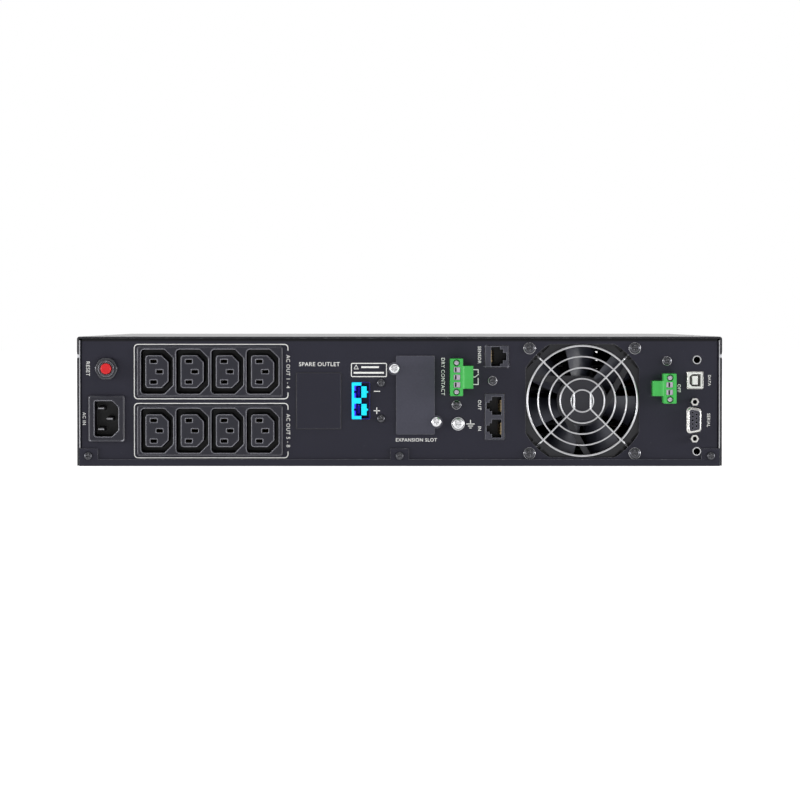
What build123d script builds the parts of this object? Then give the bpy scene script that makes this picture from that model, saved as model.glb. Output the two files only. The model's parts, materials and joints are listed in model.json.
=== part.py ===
from build123d import *
from math import cos, radians, sin, sqrt
import os

# Two-unit rackmount uninterruptible power supply, in millimetres.
# Frame: X runs to the right of a person facing the rear panel, Y runs from the rear panel towards
# the front bezel, Z runs up. The origin is the centre of the footprint, on the flat underside.

os.makedirs("parts", exist_ok=True)

# ---- Enclosure ----
BODY_WIDTH = 438.0
BODY_HEIGHT = 88.0
SHEET = 1.2
GAP = 0.3  # clearance left round a part in its cut-out
Y_BACK = -210.0  # rear edge of the cover
Y_PANEL = Y_BACK + SHEET  # outer face of the rear panel
Y_INSIDE = Y_PANEL + SHEET  # inner face of the rear panel
Y_FRONT = 190.0  # front of the sheet metal
Y_BEZEL = 222.0  # front of the plastic bezel
METAL_DEPTH = Y_FRONT - Y_BACK
HALF_WIDTH = BODY_WIDTH / 2
COVER_INSIDE = HALF_WIDTH - SHEET
TRAY_HALF = COVER_INSIDE - 0.2
WALL = 1.0  # thinner sheet of the tray's walls and the battery drawer
PANEL_HALF = TRAY_HALF - WALL - GAP
PANEL_TOP = BODY_HEIGHT - SHEET - GAP
PANEL_BOTTOM = SHEET + GAP
LIP_HEIGHT = 4.6
TAB_HEIGHT = 11.9
TAB_WIDTH = 12.7
LIP_SCREW_X = 211.6
LIP_SCREW_Z = 6.9
NOTCH_Z = 74.8
UPRIGHT_TOP = 85.5

# ---- Rear panel layout: centres as (x, z) ----
OUTLET_X = -128.8
OUTLET_ROWS = (24.1, 64.2)
OUTLET_PITCH = 23.9
OUTLET_FLANGE = (99.2, 34.5, 2.5)
OUTLET_BODY = (95.6, 31.4, 24.0)
OUTLET_SLOTS = ((-2.3, 7.0), (1.75, 0.0), (-2.3, -7.0))
SLOT_SIZE = (4.5, 2.4)
TRENCH_DEPTH = 16.0
INLET = (-199.0, 32.2)
INLET_PINS = ((-3.8, 7.1), (2.2, 0.0), (-3.8, -7.1))
BREAKER = (-199.0, 66.2)
BLANK = (-55.0, 44.3)
CONNECTOR = (-26.4, 44.4)
CONNECTOR_SCREWS = ((-12.6, 56.5), (-12.6, 32.2))
SLOT_COVER = (10.8, 48.25)
SLOT_SCREWS = ((-3.5, 66.2), (25.0, 30.0))
RELAY = (38.5, 60.5)
EMERGENCY = (182.7, 52.9)
SENSE_JACK = (66.05, 74.4)
NETWORK_JACK = (64.65, 33.5)
NETWORK_PORTS = (25.5, 41.0)
GROUND = (39.8, 28.7)
FAN = (124.1, 44.3)
USB = (200.7, 58.3)
SERIAL = (200.0, 31.25)
PANEL_SCREWS = ((38.7, 41.6), (63.2, 58.0), (181.7, 71.4))
BUSHED_HOLES = ((202.0, 72.2), (202.0, 10.0))
BUSH_RADIUS = 3.3
BUSH_BORE = 2.2

# ---- Fan ----
FAN_SIZE = 80.0
FAN_DEPTH = 25.4
FAN_HOLE = 35.75  # half the 71.5 mm hole pitch
FAN_BORE = 38.2
Y_FAN = Y_INSIDE + 1.7  # the guard's wire lies between the panel and the frame
BLADES = 7
SHAFT = 1.5
GUARD_RINGS = (7.5, 15.1, 22.5, 30.1)
GUARD_RIM = 37.4

# ---- Pluggable terminals ----
POLE = 5.08
Y_PLUG = -222.0
PLUG_BACK = -205.2
HEADER_FRONT = -204.9
NOSE_DEPTH = 9.0
ENTRY_WIDTH = 8.6
CLAMP_WIDTH = 7.0

# ---- Battery drawer and front ----
DRAWER_X = -110.0
DRAWER_HALF = 102.0
Y_DRAWER_BACK = -120.0
DRAWER_FLOOR = 2.3
BATTERY = (94.0, 151.0, 65.0)
BAY_DIVIDER_X = -4.7
Y_DRAWER_PLATE = Y_FRONT + 0.1
DRAWER_OPENING_TOP = 77.0
DRAWER_SCREWS = ((DRAWER_X - 80, 81.4), (DRAWER_X + 80, 81.4))
COVER_WINDOW = (-110.0, 43.8, 210.6, 83.6)  # bezel opening: centre x, centre z, width, height
DISPLAY = (105.0, 52.0)
LENS = (62.0, 32.0)
BUTTONS = {"on_button": 82.0, "off_button": 105.0, "select_button": 128.0}
BUTTON_Z = 22.0
BUTTON_SIZE = (14.0, 7.0)

# ---- Electronics ----
BOARD = (109.0, 12.0, 206.0, 320.0)  # centre x, centre y, width, length
BOARD_Z = 8.0
BOARD_THICK = 1.6
BOARD_TOP = BOARD_Z + BOARD_THICK


def rear_plane(y):
    """Sketch plane at depth y that faces the rear: local x runs right, local y runs up."""
    return Plane.XZ.offset(-y)


def save(builder, label):
    """Labels a finished sub-part and writes its STEP file."""
    builder.part.label = label
    export_step(builder.part, f"parts/{label}.step")


def keyed_outline(width, height, key, radius):
    """Appliance coupler outline: right-hand corners cut off by key, left-hand corners rounded."""
    w, h = width / 2, height / 2
    with BuildSketch(mode=Mode.PRIVATE) as outline:
        with BuildLine():
            Polyline((-w, -h), (w - key, -h), (w, key - h), (w, h - key), (w - key, h), (-w, h), close=True)
        make_face()
        fillet(outline.vertices().sort_by(Axis.X)[:2], radius)
    return outline.sketch


def screw(head_radius, head_height, shank_radius, length, flat=False, slotted=False):
    """A screw standing on z = 0, its head above and its shank below; flat heads lie under z = 0."""
    with BuildPart() as body:
        with BuildSketch(Plane.XZ):
            with BuildLine():
                if flat:
                    cone = head_radius - shank_radius
                    Polyline((0, 0), (head_radius, 0), (shank_radius, -cone), (shank_radius, -length))
                else:
                    Polyline((0, head_height), (head_radius * 0.55, head_height))
                    ThreePointArc(
                        (head_radius * 0.55, head_height),
                        (head_radius * 0.9, head_height * 0.7),
                        (head_radius, head_height * 0.2),
                    )
                    Polyline((head_radius, head_height * 0.2), (head_radius, 0), (shank_radius, 0))
                    Line((shank_radius, 0), (shank_radius, -length))
                top = 0 if flat else head_height
                Polyline((shank_radius, -length), (0, -length), (0, top))
            make_face()
        revolve(axis=Axis.Z)
        blade = head_radius * 1.15
        recess = head_radius * 0.32
        with Locations((0, 0, 0 if flat else head_height)):
            if slotted:
                Box(blade * 1.9, recess * 0.6, recess * 1.6, mode=Mode.SUBTRACT)
            else:
                Box(blade, recess * 0.7, recess * 2.4, mode=Mode.SUBTRACT)
                Box(recess * 0.7, blade, recess * 2.4, mode=Mode.SUBTRACT)
    return body.part


# =====================================================================================
# Sheet metal
# =====================================================================================

COVER_SCREW_Y = (-180.0, -50.0, 80.0)
COVER_SCREW_Z = 16.0
EAR_SCREWS = ((150.0, 22.0), (150.0, 66.0), (175.0, 22.0), (175.0, 66.0))
STANDOFFS = [(BOARD[0] + dx, BOARD[1] + dy) for dx in (-96.0, 96.0) for dy in (-150.0, 0.0, 150.0)]


def side_circles(radius, points):
    """Circles on the middle plane at the given (y, z) points, for holes through both sides."""
    with BuildSketch(Plane.YZ) as circles:
        with Locations(*points):
            Circle(radius)
    return circles.sketch


with BuildPart() as base_tray:
    with Locations((0, (Y_BACK + Y_FRONT) / 2, SHEET / 2)):
        Box(2 * TRAY_HALF, METAL_DEPTH, SHEET)
    # Rear lip with three screw tabs, bent up outside the rear panel.
    with BuildSketch(rear_plane(Y_PANEL)):
        with Locations((0, LIP_HEIGHT / 2)):
            Rectangle(2 * TRAY_HALF, LIP_HEIGHT)
        with Locations(
            (TAB_WIDTH / 2 - TRAY_HALF, TAB_HEIGHT / 2), (0, TAB_HEIGHT / 2),
            (TRAY_HALF - TAB_WIDTH / 2, TAB_HEIGHT / 2),
        ):
            Rectangle(TAB_WIDTH, TAB_HEIGHT)
        with Locations((-LIP_SCREW_X, LIP_SCREW_Z), (0, LIP_SCREW_Z), (LIP_SCREW_X, LIP_SCREW_Z)):
            Circle(1.7, mode=Mode.SUBTRACT)
    extrude(amount=SHEET)
    # Low side walls, with full-height uprights at the rear and front corners.
    for side in (-1, 1):
        wall_x = side * (TRAY_HALF - WALL / 2)
        with Locations((wall_x, -10.3, 15.6)):
            Box(WALL, 396.6, 28.8)
        with Locations((wall_x, -199.6, UPRIGHT_TOP / 2)):
            Box(WALL, 19.6, UPRIGHT_TOP)
        with Locations((wall_x, 174.0, UPRIGHT_TOP / 2)):
            Box(WALL, 28.0, UPRIGHT_TOP)
        with Locations((side * (TRAY_HALF + 0.7), -208.5, NOTCH_Z)):
            Box(1.4, 1.8, 2.2)
    small_holes = side_circles(1.9, [(y, COVER_SCREW_Z) for y in COVER_SCREW_Y])
    large_holes = side_circles(2.3, EAR_SCREWS)
    extrude(small_holes, amount=HALF_WIDTH, both=True, mode=Mode.SUBTRACT)
    extrude(large_holes, amount=HALF_WIDTH, both=True, mode=Mode.SUBTRACT)
    with Locations(*[(x, y, (SHEET + BOARD_Z) / 2) for x, y in STANDOFFS]):
        Cylinder(3.0, BOARD_Z - SHEET)
        Cylinder(1.4, BOARD_Z - SHEET, mode=Mode.SUBTRACT)
save(base_tray, "base_tray")

VENT_ROWS = (46.0, 68.0)
VENT_SLOTS = 12

with BuildPart() as top_cover:
    with BuildSketch(rear_plane(Y_BACK)) as cover_profile:
        with Locations((0, (BODY_HEIGHT + GAP) / 2)):
            Rectangle(BODY_WIDTH, BODY_HEIGHT - GAP)
        fillet(cover_profile.vertices().sort_by(Axis.Y)[-2:], 1.8)
        with Locations((0, (BODY_HEIGHT - SHEET) / 2)):
            Rectangle(2 * COVER_INSIDE, BODY_HEIGHT - SHEET, mode=Mode.SUBTRACT)
    extrude(amount=-METAL_DEPTH)
    # Intake slots low and high on both sides, near the front.
    with BuildSketch(Plane.YZ):
        for row in VENT_ROWS:
            with Locations((90.0, row)):
                with GridLocations(8.0, 0, VENT_SLOTS, 1):
                    SlotOverall(16.0, 3.0, rotation=90)
    extrude(amount=HALF_WIDTH + 1, both=True, mode=Mode.SUBTRACT)
    # Notch in each rear edge, where the tray's locating tab sits.
    with Locations((-HALF_WIDTH, Y_BACK, NOTCH_Z), (HALF_WIDTH, Y_BACK, NOTCH_Z)):
        Box(2 * SHEET + 0.1, 5.4, 2.8, mode=Mode.SUBTRACT)
    extrude(side_circles(2.2, EAR_SCREWS), amount=HALF_WIDTH + 1, both=True, mode=Mode.SUBTRACT)
    for side in (-1, 1):
        with Locations(*[(side * (HALF_WIDTH - SHEET / 2), y, COVER_SCREW_Z) for y in COVER_SCREW_Y]):
            Cone(1.7, 2.9, SHEET, rotation=(0, side * 90, 0), mode=Mode.SUBTRACT)
save(top_cover, "top_cover")


def cut_out(centre, width, height, radius=0.8):
    """Rounded rectangular opening in the current sketch."""
    with Locations(centre):
        RectangleRounded(width, height, radius, mode=Mode.SUBTRACT)


def holes(points, radius):
    """Round holes in the current sketch."""
    with Locations(*points):
        Circle(radius, mode=Mode.SUBTRACT)


PANEL_HEIGHT = PANEL_TOP - PANEL_BOTTOM
FAN_HOLES = [(FAN[0] + sx * FAN_HOLE, FAN[1] + sz * FAN_HOLE) for sx in (-1, 1) for sz in (-1, 1)]
SERIAL_SCREWS = [(SERIAL[0] + 0.3, SERIAL[1] + 12.5), (SERIAL[0] + 0.3, SERIAL[1] - 12.5)]


def block_length(poles):
    """Length of a terminal plug over its two screw flanges."""
    return poles * POLE + 9.9


with BuildPart() as rear_panel:
    with BuildSketch(rear_plane(Y_PANEL)):
        with Locations((0, (PANEL_TOP + PANEL_BOTTOM) / 2)):
            Rectangle(2 * PANEL_HALF, PANEL_HEIGHT)
        for row in OUTLET_ROWS:
            cut_out((OUTLET_X, row), OUTLET_BODY[0] + 2 * GAP, OUTLET_BODY[1] + 2 * GAP)
        cut_out(INLET, 20.6, 28.6)
        holes([BREAKER], 5.8)
        cut_out(BLANK, 28.0, 35.6)
        cut_out(CONNECTOR, 12.7, 25.6)
        cut_out((10.8, 48.25), 20.0, 48.5)
        for (block_x, block_z), poles, turn in ((RELAY, 3, 1), (EMERGENCY, 2, -1)):
            cut_out((block_x, block_z), ENTRY_WIDTH + 0.8, block_length(poles) + 0.8)
            middle_x = block_x + turn * CLAMP_WIDTH / 2
            cut_out((middle_x, block_z), ENTRY_WIDTH + CLAMP_WIDTH + 0.8, poles * POLE + 0.8)
        cut_out(SENSE_JACK, 16.5, 15.1)
        cut_out(NETWORK_JACK, 13.7, 31.6)
        cut_out(USB, 11.6, 12.3)
        cut_out(SERIAL, 9.2, 17.8, 2.0)
        holes([GROUND], 2.4)
        holes(SERIAL_SCREWS, 1.8)
        holes(CONNECTOR_SCREWS, 1.7)
        holes(SLOT_SCREWS, 1.7)
        holes(PANEL_SCREWS, 1.7)
        holes([(-LIP_SCREW_X, LIP_SCREW_Z), (0, LIP_SCREW_Z), (LIP_SCREW_X, LIP_SCREW_Z)], 1.7)
        holes(FAN_HOLES, 2.2)
        # The fan opening is a square whose corners follow a circle.
        with BuildSketch(mode=Mode.PRIVATE) as fan_opening:
            with Locations(FAN):
                Rectangle(77.0, 77.0)
                Circle(44.3, mode=Mode.INTERSECT)
        add(fan_opening.sketch, mode=Mode.SUBTRACT)
    extrude(amount=-SHEET)
    fillet(rear_panel.edges().filter_by(Axis.Z).filter_by_position(Axis.Y, Y_PANEL - 0.01, Y_PANEL + 0.01)
           .group_by(Axis.X)[0], 0.8)
    fillet(rear_panel.edges().filter_by(Axis.Z).filter_by_position(Axis.Y, Y_PANEL - 0.01, Y_PANEL + 0.01)
           .group_by(Axis.X)[-1], 0.8)
    # Raised bushes round the two spare screw holes.
    with BuildSketch(rear_plane(Y_PANEL)):
        with Locations(*BUSHED_HOLES):
            Circle(BUSH_RADIUS)
    extrude(amount=0.5, taper=35)
    with BuildSketch(rear_plane(Y_PANEL - 0.5)):
        with Locations(*BUSHED_HOLES):
            Circle(BUSH_BORE)
    extrude(amount=-3.0, mode=Mode.SUBTRACT)
    # Stiffening flanges bent inwards along the top and both sides.
    with Locations((0, Y_INSIDE + 5.8, PANEL_TOP - SHEET / 2)):
        Box(2 * PANEL_HALF - 4, 11.6, SHEET)
    for side in (-1, 1):
        with Locations((side * (PANEL_HALF - SHEET / 2), Y_INSIDE + 5.8, 49.0)):
            Box(SHEET, 11.6, 70.0)
save(rear_panel, "rear_panel")

INTAKE_PITCH = 7.0

with BuildPart() as front_frame:
    with BuildSketch(rear_plane(Y_FRONT - 1.6)):
        with Locations((0, (PANEL_TOP + PANEL_BOTTOM) / 2)):
            Rectangle(432.0, PANEL_HEIGHT)
        with Locations((DRAWER_X, DRAWER_OPENING_TOP / 2)):
            Rectangle(2 * DRAWER_HALF + 2, DRAWER_OPENING_TOP, mode=Mode.SUBTRACT)
        with Locations((105.0, 44.0)):
            with GridLocations(13.0, INTAKE_PITCH, 15, 9):
                SlotOverall(10.0, 3.6, mode=Mode.SUBTRACT)
        holes(DRAWER_SCREWS, 1.9)
    extrude(amount=-SHEET)
    # The wall between the battery bay and the electronics.
    with Locations((BAY_DIVIDER_X, 39.2, 41.0)):
        Box(WALL, 298.4, 79.0)
save(front_frame, "front_frame")

EAR = 2.0
EAR_REACH = 241.3
RACK_HOLE_X = 232.55
RACK_HOLE_Z = 38.1

for side, ear_name in ((-1, "rack_ear_left"), (1, "rack_ear_right")):
    with BuildPart() as rack_ear:
        with Locations((side * (HALF_WIDTH + EAR / 2), Y_FRONT - 26.0, 44.0)):
            Box(EAR, 52.0, 86.0)
        with Locations((side * (HALF_WIDTH + EAR_REACH) / 2, Y_FRONT - EAR / 2, 44.0)):
            Box(EAR_REACH - HALF_WIDTH, EAR, 86.0)
        bend_y = Y_FRONT - EAR
        bend = rack_ear.edges().filter_by(Axis.Z).filter_by_position(Axis.Y, bend_y - 0.1, bend_y + 0.1)
        bend_sides = sorted((side * 220.9, side * 221.1))
        fillet(bend.filter_by_position(Axis.X, *bend_sides), 1.5)
        outer = rack_ear.edges().filter_by(Axis.Y).sort_by(lambda e: side * e.center().X)[-2:]
        fillet(outer, 4.0)
        with BuildSketch(rear_plane(Y_FRONT)):
            with Locations((side * RACK_HOLE_X, 44 - RACK_HOLE_Z), (side * RACK_HOLE_X, 44 + RACK_HOLE_Z)):
                SlotOverall(10.0, 6.8)
        extrude(amount=2 * EAR, mode=Mode.SUBTRACT)
        with BuildSketch(Plane.YZ):
            with Locations(*EAR_SCREWS):
                Circle(2.1)
        extrude(amount=side * 260, mode=Mode.SUBTRACT)
        with Locations(*[(side * (HALF_WIDTH + EAR - 0.9), y, z) for y, z in EAR_SCREWS]):
            Cone(2.1, 3.9, 1.8, rotation=(0, side * 90, 0), mode=Mode.SUBTRACT)
    save(rack_ear, ear_name)

ear_screw = screw(3.8, 0, 1.9, 8.0, flat=True)
cover_screw = screw(2.8, 0, 1.4, 7.0, flat=True)

with BuildPart() as side_screws:
    for side in (-1, 1):
        outwards = Plane(origin=(0, 0, 0), x_dir=(0, side, 0), z_dir=(side, 0, 0))
        with Locations(outwards):
            with Locations(*[(side * y, z, HALF_WIDTH + EAR) for y, z in EAR_SCREWS]):
                add(ear_screw)
            with Locations(*[(side * y, COVER_SCREW_Z, HALF_WIDTH) for y in COVER_SCREW_Y]):
                add(cover_screw)
save(side_screws, "side_screws")

# =====================================================================================
# Mains sockets, inlet and breaker
# =====================================================================================

OUTLET_FACE = Y_PANEL - OUTLET_FLANGE[2]
SLOT_DEPTH = 20.0
OUTLET_BACK = Y_PANEL + OUTLET_BODY[2]


def outlet_slots(width, height):
    """The twelve contact slots of one row, in the current sketch."""
    with GridLocations(OUTLET_PITCH, 0, 4, 1):
        with Locations(*OUTLET_SLOTS):
            Rectangle(width, height)


for outlet_z, outlet_name in zip(OUTLET_ROWS, ("outlet_block_lower", "outlet_block_upper")):
    with BuildPart() as outlet_block:
        with BuildSketch(rear_plane(Y_PANEL)):
            with Locations((OUTLET_X, outlet_z)):
                RectangleRounded(OUTLET_FLANGE[0], OUTLET_FLANGE[1], 1.8)
        extrude(amount=OUTLET_FLANGE[2])
        chamfer(outlet_block.faces().sort_by(Axis.Y)[0].edges(), 0.7)
        with BuildSketch(rear_plane(Y_PANEL)):
            with Locations((OUTLET_X, outlet_z)):
                Rectangle(OUTLET_BODY[0], OUTLET_BODY[1])
        extrude(amount=-OUTLET_BODY[2])
        with BuildSketch(rear_plane(OUTLET_FACE)):
            with Locations((OUTLET_X, outlet_z)):
                with GridLocations(OUTLET_PITCH, 0, 4, 1):
                    add(keyed_outline(21.8, 30.1, 5.9, 2.4))
                    add(keyed_outline(15.6, 22.2, 4.6, 2.0), mode=Mode.SUBTRACT)
        extrude(amount=-TRENCH_DEPTH, mode=Mode.SUBTRACT)
        with BuildSketch(rear_plane(OUTLET_FACE)):
            with Locations((OUTLET_X, outlet_z)):
                outlet_slots(*SLOT_SIZE)
        extrude(amount=-SLOT_DEPTH, mode=Mode.SUBTRACT)
        with BuildSketch(rear_plane(OUTLET_FACE)):
            with Locations((OUTLET_X, outlet_z)):
                outlet_slots(4.4, 1.1)
        extrude(amount=-OUTLET_BODY[2] - OUTLET_FLANGE[2], mode=Mode.SUBTRACT)
    save(outlet_block, outlet_name)

CONTACT_TOP = OUTLET_FACE + 5.0
CONTACT_FLOOR = OUTLET_FACE + SLOT_DEPTH - 0.2

with BuildPart() as outlet_contacts:
    for outlet_z in OUTLET_ROWS:
        with BuildSketch(rear_plane(CONTACT_TOP)):
            with Locations((OUTLET_X, outlet_z)):
                outlet_slots(4.1, 2.1)
        extrude(amount=CONTACT_TOP - CONTACT_FLOOR)
        with BuildSketch(rear_plane(CONTACT_TOP)):
            with Locations((OUTLET_X, outlet_z)):
                outlet_slots(5.0, 1.3)
        extrude(amount=CONTACT_TOP - CONTACT_FLOOR + 1.0, mode=Mode.SUBTRACT)
        with BuildSketch(rear_plane(CONTACT_FLOOR)):
            with Locations((OUTLET_X, outlet_z)):
                outlet_slots(4.1, 0.8)
        extrude(amount=CONTACT_FLOOR - OUTLET_BACK - 8.0)
save(outlet_contacts, "outlet_contacts")

INLET_FACE = Y_PANEL - 2.6
INLET_DEPTH = 16.0

with BuildPart() as inlet_housing:
    with BuildSketch(rear_plane(Y_PANEL)):
        with Locations(INLET):
            RectangleRounded(24.9, 31.6, 1.5)
    extrude(amount=Y_PANEL - INLET_FACE)
    chamfer(inlet_housing.faces().sort_by(Axis.Y)[0].edges(), 0.9)
    with BuildSketch(rear_plane(Y_PANEL)):
        with Locations(INLET):
            Rectangle(20.0, 28.0)
    extrude(amount=-24.0)
    with BuildSketch(rear_plane(INLET_FACE)):
        with Locations(INLET):
            add(keyed_outline(16.2, 24.1, 4.3, 0.8))
    extrude(amount=-INLET_DEPTH, mode=Mode.SUBTRACT)
    with BuildSketch(rear_plane(INLET_FACE)):
        with Locations(INLET):
            with Locations(*INLET_PINS):
                Rectangle(4.2, 2.2)
    extrude(amount=-40.0, mode=Mode.SUBTRACT)
save(inlet_housing, "inlet_housing")

with BuildPart() as inlet_pins:
    with BuildSketch(rear_plane(INLET_FACE + 1.2)):
        with Locations(INLET):
            with Locations(*INLET_PINS):
                Rectangle(4.0, 2.0)
    extrude(amount=-36.0)
    # Tapered tips.
    tips = inlet_pins.faces().group_by(Axis.Y)[0].edges()
    chamfer(tips.filter_by(Axis.X), length=1.6, length2=0.55)
save(inlet_pins, "inlet_pins")

BUSHING_TIP = Y_PANEL - 4.8

with BuildPart() as breaker_body:
    with BuildSketch(rear_plane(Y_INSIDE)):
        with Locations(BREAKER):
            RectangleRounded(15.0, 30.0, 1.5)
    extrude(amount=-30.0)
    with BuildSketch(rear_plane(Y_INSIDE)):
        with Locations(BREAKER):
            Circle(5.5)
    extrude(amount=Y_INSIDE - BUSHING_TIP)
    with BuildSketch(rear_plane(BUSHING_TIP)):
        with Locations(BREAKER):
            Circle(3.95)
    extrude(amount=-18.0, mode=Mode.SUBTRACT)
    with Locations(*[(BREAKER[0], Y_INSIDE + 35.0, BREAKER[1] + tab_z) for tab_z in (-8, 8)]):
        Box(6.3, 10.0, 0.8)
save(breaker_body, "breaker_body")

with BuildPart() as breaker_nut:
    with BuildSketch(rear_plane(Y_PANEL)):
        with Locations(BREAKER):
            RegularPolygon(7.15, 6, major_radius=False, rotation=0)
            Circle(5.6, mode=Mode.SUBTRACT)
    extrude(amount=3.4)
    with BuildSketch(rear_plane(Y_PANEL)):
        with Locations(BREAKER):
            Circle(7.95)
    extrude(amount=3.4, taper=8, mode=Mode.INTERSECT)
save(breaker_nut, "breaker_nut")

with BuildPart() as breaker_button:
    with BuildSketch(rear_plane(BUSHING_TIP - 1.8)):
        with Locations(BREAKER):
            Circle(3.6)
    extrude(amount=-16.0)
    fillet(breaker_button.faces().sort_by(Axis.Y)[0].edges(), 0.8)
save(breaker_button, "breaker_button")

with BuildPart() as blanking_plate:
    with BuildSketch(rear_plane(Y_PANEL)):
        with Locations(BLANK):
            RectangleRounded(30.4, 38.0, 0.8)
    extrude(amount=0.8)
    chamfer(blanking_plate.faces().sort_by(Axis.Y)[0].edges(), 0.35)
    with Locations(
        *[(BLANK[0] + sx * 13.0, Y_PANEL + 2.5, BLANK[1] + sz * 10.0) for sx in (-1, 1) for sz in (-1, 1)]
    ):
        Box(1.2, 5.0, 6.0)
save(blanking_plate, "blanking_plate")

# =====================================================================================
# Battery connector: genderless two-pole power coupler
# =====================================================================================

CONNECTOR_FACE = Y_PANEL - 1.6
CONNECTOR_SIZE = (12.1, 25.0)
CONNECTOR_MID = CONNECTOR[0] + 0.45  # line between the pocket half and the tongue half
POCKET = (3.6, 8.3)
TONGUE = (3.6, 7.7)
POLE_Z = (-6.0, 6.0)
RECESS = 8.0

with BuildPart() as battery_connector:
    with BuildSketch(rear_plane(CONNECTOR_FACE)):
        with Locations(CONNECTOR):
            RectangleRounded(*CONNECTOR_SIZE, 0.6)
    extrude(amount=-38.0)
    # Mounting flange behind the rear panel, with the two screw holes.
    with BuildSketch(rear_plane(Y_INSIDE)):
        with Locations((CONNECTOR[0] + 6.0, CONNECTOR[1])):
            RectangleRounded(26.0, 33.0, 2.0)
        holes(CONNECTOR_SCREWS, 1.7)
    extrude(amount=-2.5)
    # Tongue half: cut back, leaving a keyed tongue for each pole.
    with BuildSketch(rear_plane(CONNECTOR_FACE)):
        with Locations((CONNECTOR_MID + 2.55, CONNECTOR[1])):
            Rectangle(5.1, 23.8)
        with Locations(*[(CONNECTOR_MID + TONGUE[0] / 2, CONNECTOR[1] + z) for z in POLE_Z]):
            Rectangle(*TONGUE, mode=Mode.SUBTRACT)
        with Locations(*[(CONNECTOR_MID + TONGUE[0] + 0.4, CONNECTOR[1] + z) for z in POLE_Z]):
            Rectangle(1.2, 1.3, mode=Mode.SUBTRACT)
    extrude(amount=-RECESS, mode=Mode.SUBTRACT)
    # Pocket half: one keyed pocket for each of the mating part's tongues.
    with BuildSketch(rear_plane(CONNECTOR_FACE)):
        with Locations(*[(CONNECTOR_MID - POCKET[0] / 2, CONNECTOR[1] + z) for z in POLE_Z]):
            Rectangle(*POCKET)
        with Locations(*[(CONNECTOR_MID - POCKET[0] - 0.7, CONNECTOR[1] + z) for z in POLE_Z]):
            Rectangle(1.5, 1.4)
    extrude(amount=-RECESS - 4.0, mode=Mode.SUBTRACT)
    # Rear tunnels for the contacts.
    with BuildSketch(rear_plane(CONNECTOR_FACE + 10.0)):
        with Locations(*[(CONNECTOR_MID - 1.8, CONNECTOR[1] + z) for z in POLE_Z]):
            Rectangle(2.2, 7.0)
    extrude(amount=-40.0, mode=Mode.SUBTRACT)
save(battery_connector, "battery_connector")

with BuildPart() as connector_contacts:
    with BuildSketch(rear_plane(CONNECTOR_FACE + 4.0)):
        with Locations(*[(CONNECTOR_MID - 1.8, CONNECTOR[1] + z) for z in POLE_Z]):
            Rectangle(1.6, 6.4)
    extrude(amount=-42.0)
save(connector_contacts, "connector_contacts")

# =====================================================================================
# Card slot and small screws
# =====================================================================================

with BuildPart() as slot_cover:
    with BuildSketch(rear_plane(Y_PANEL)):
        with Locations(SLOT_COVER):
            RectangleRounded(26.3, 53.5, 0.8)
        with Locations(*SLOT_SCREWS):
            Circle(4.4)
            Circle(1.7, mode=Mode.SUBTRACT)
    extrude(amount=SHEET)
    # A turned-in rim that locates the plate in the opening.
    with BuildSketch(rear_plane(Y_PANEL)):
        with Locations(SLOT_COVER):
            RectangleRounded(19.4, 47.9, 0.6)
            RectangleRounded(17.4, 45.9, 0.4, mode=Mode.SUBTRACT)
    extrude(amount=-4.0)
save(slot_cover, "slot_cover")

with BuildPart() as card_guides:
    for guide_z, turn in ((72.6, -1), (23.9, 1)):
        with Locations((SLOT_COVER[0], -152.0, guide_z - turn * 1.5)):
            Box(5.0, 100.0, 5.0)
        with Locations((SLOT_COVER[0], -152.0, guide_z)):
            Box(1.9, 101.0, 2.01, mode=Mode.SUBTRACT)
save(card_guides, "card_guides")

slot_screw = screw(3.5, 2.2, 1.4, 7.0)
ground_screw = screw(4.0, 2.6, 2.1, 9.0)

with BuildPart() as zinc_screws:
    with Locations(rear_plane(Y_PANEL - SHEET)):
        with Locations(*SLOT_SCREWS):
            add(slot_screw)
    with Locations(rear_plane(Y_PANEL - 0.8)):
        with Locations(GROUND):
            add(ground_screw)
    with BuildSketch(rear_plane(Y_PANEL)):
        with Locations(GROUND):
            Circle(4.5)
            Circle(2.4, mode=Mode.SUBTRACT)
    extrude(amount=0.7)
save(zinc_screws, "zinc_screws")

fan_screw = screw(3.7, 2.2, 1.9, 14.0)
panel_screw = screw(2.8, 1.8, 1.4, 6.5)

with BuildPart() as rear_screws:
    with Locations(rear_plane(Y_PANEL)):
        with Locations(*FAN_HOLES):
            add(fan_screw)
        with Locations(*PANEL_SCREWS, *CONNECTOR_SCREWS):
            add(panel_screw)
    with Locations(rear_plane(Y_BACK)):
        with Locations((-LIP_SCREW_X, LIP_SCREW_Z), (0, LIP_SCREW_Z), (LIP_SCREW_X, LIP_SCREW_Z)):
            add(panel_screw)
save(rear_screws, "rear_screws")

# =====================================================================================
# Pluggable terminal blocks
# =====================================================================================


def pole_positions(poles):
    """Offsets of the poles along the block."""
    return [(i - (poles - 1) / 2) * POLE for i in range(poles)]


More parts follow.
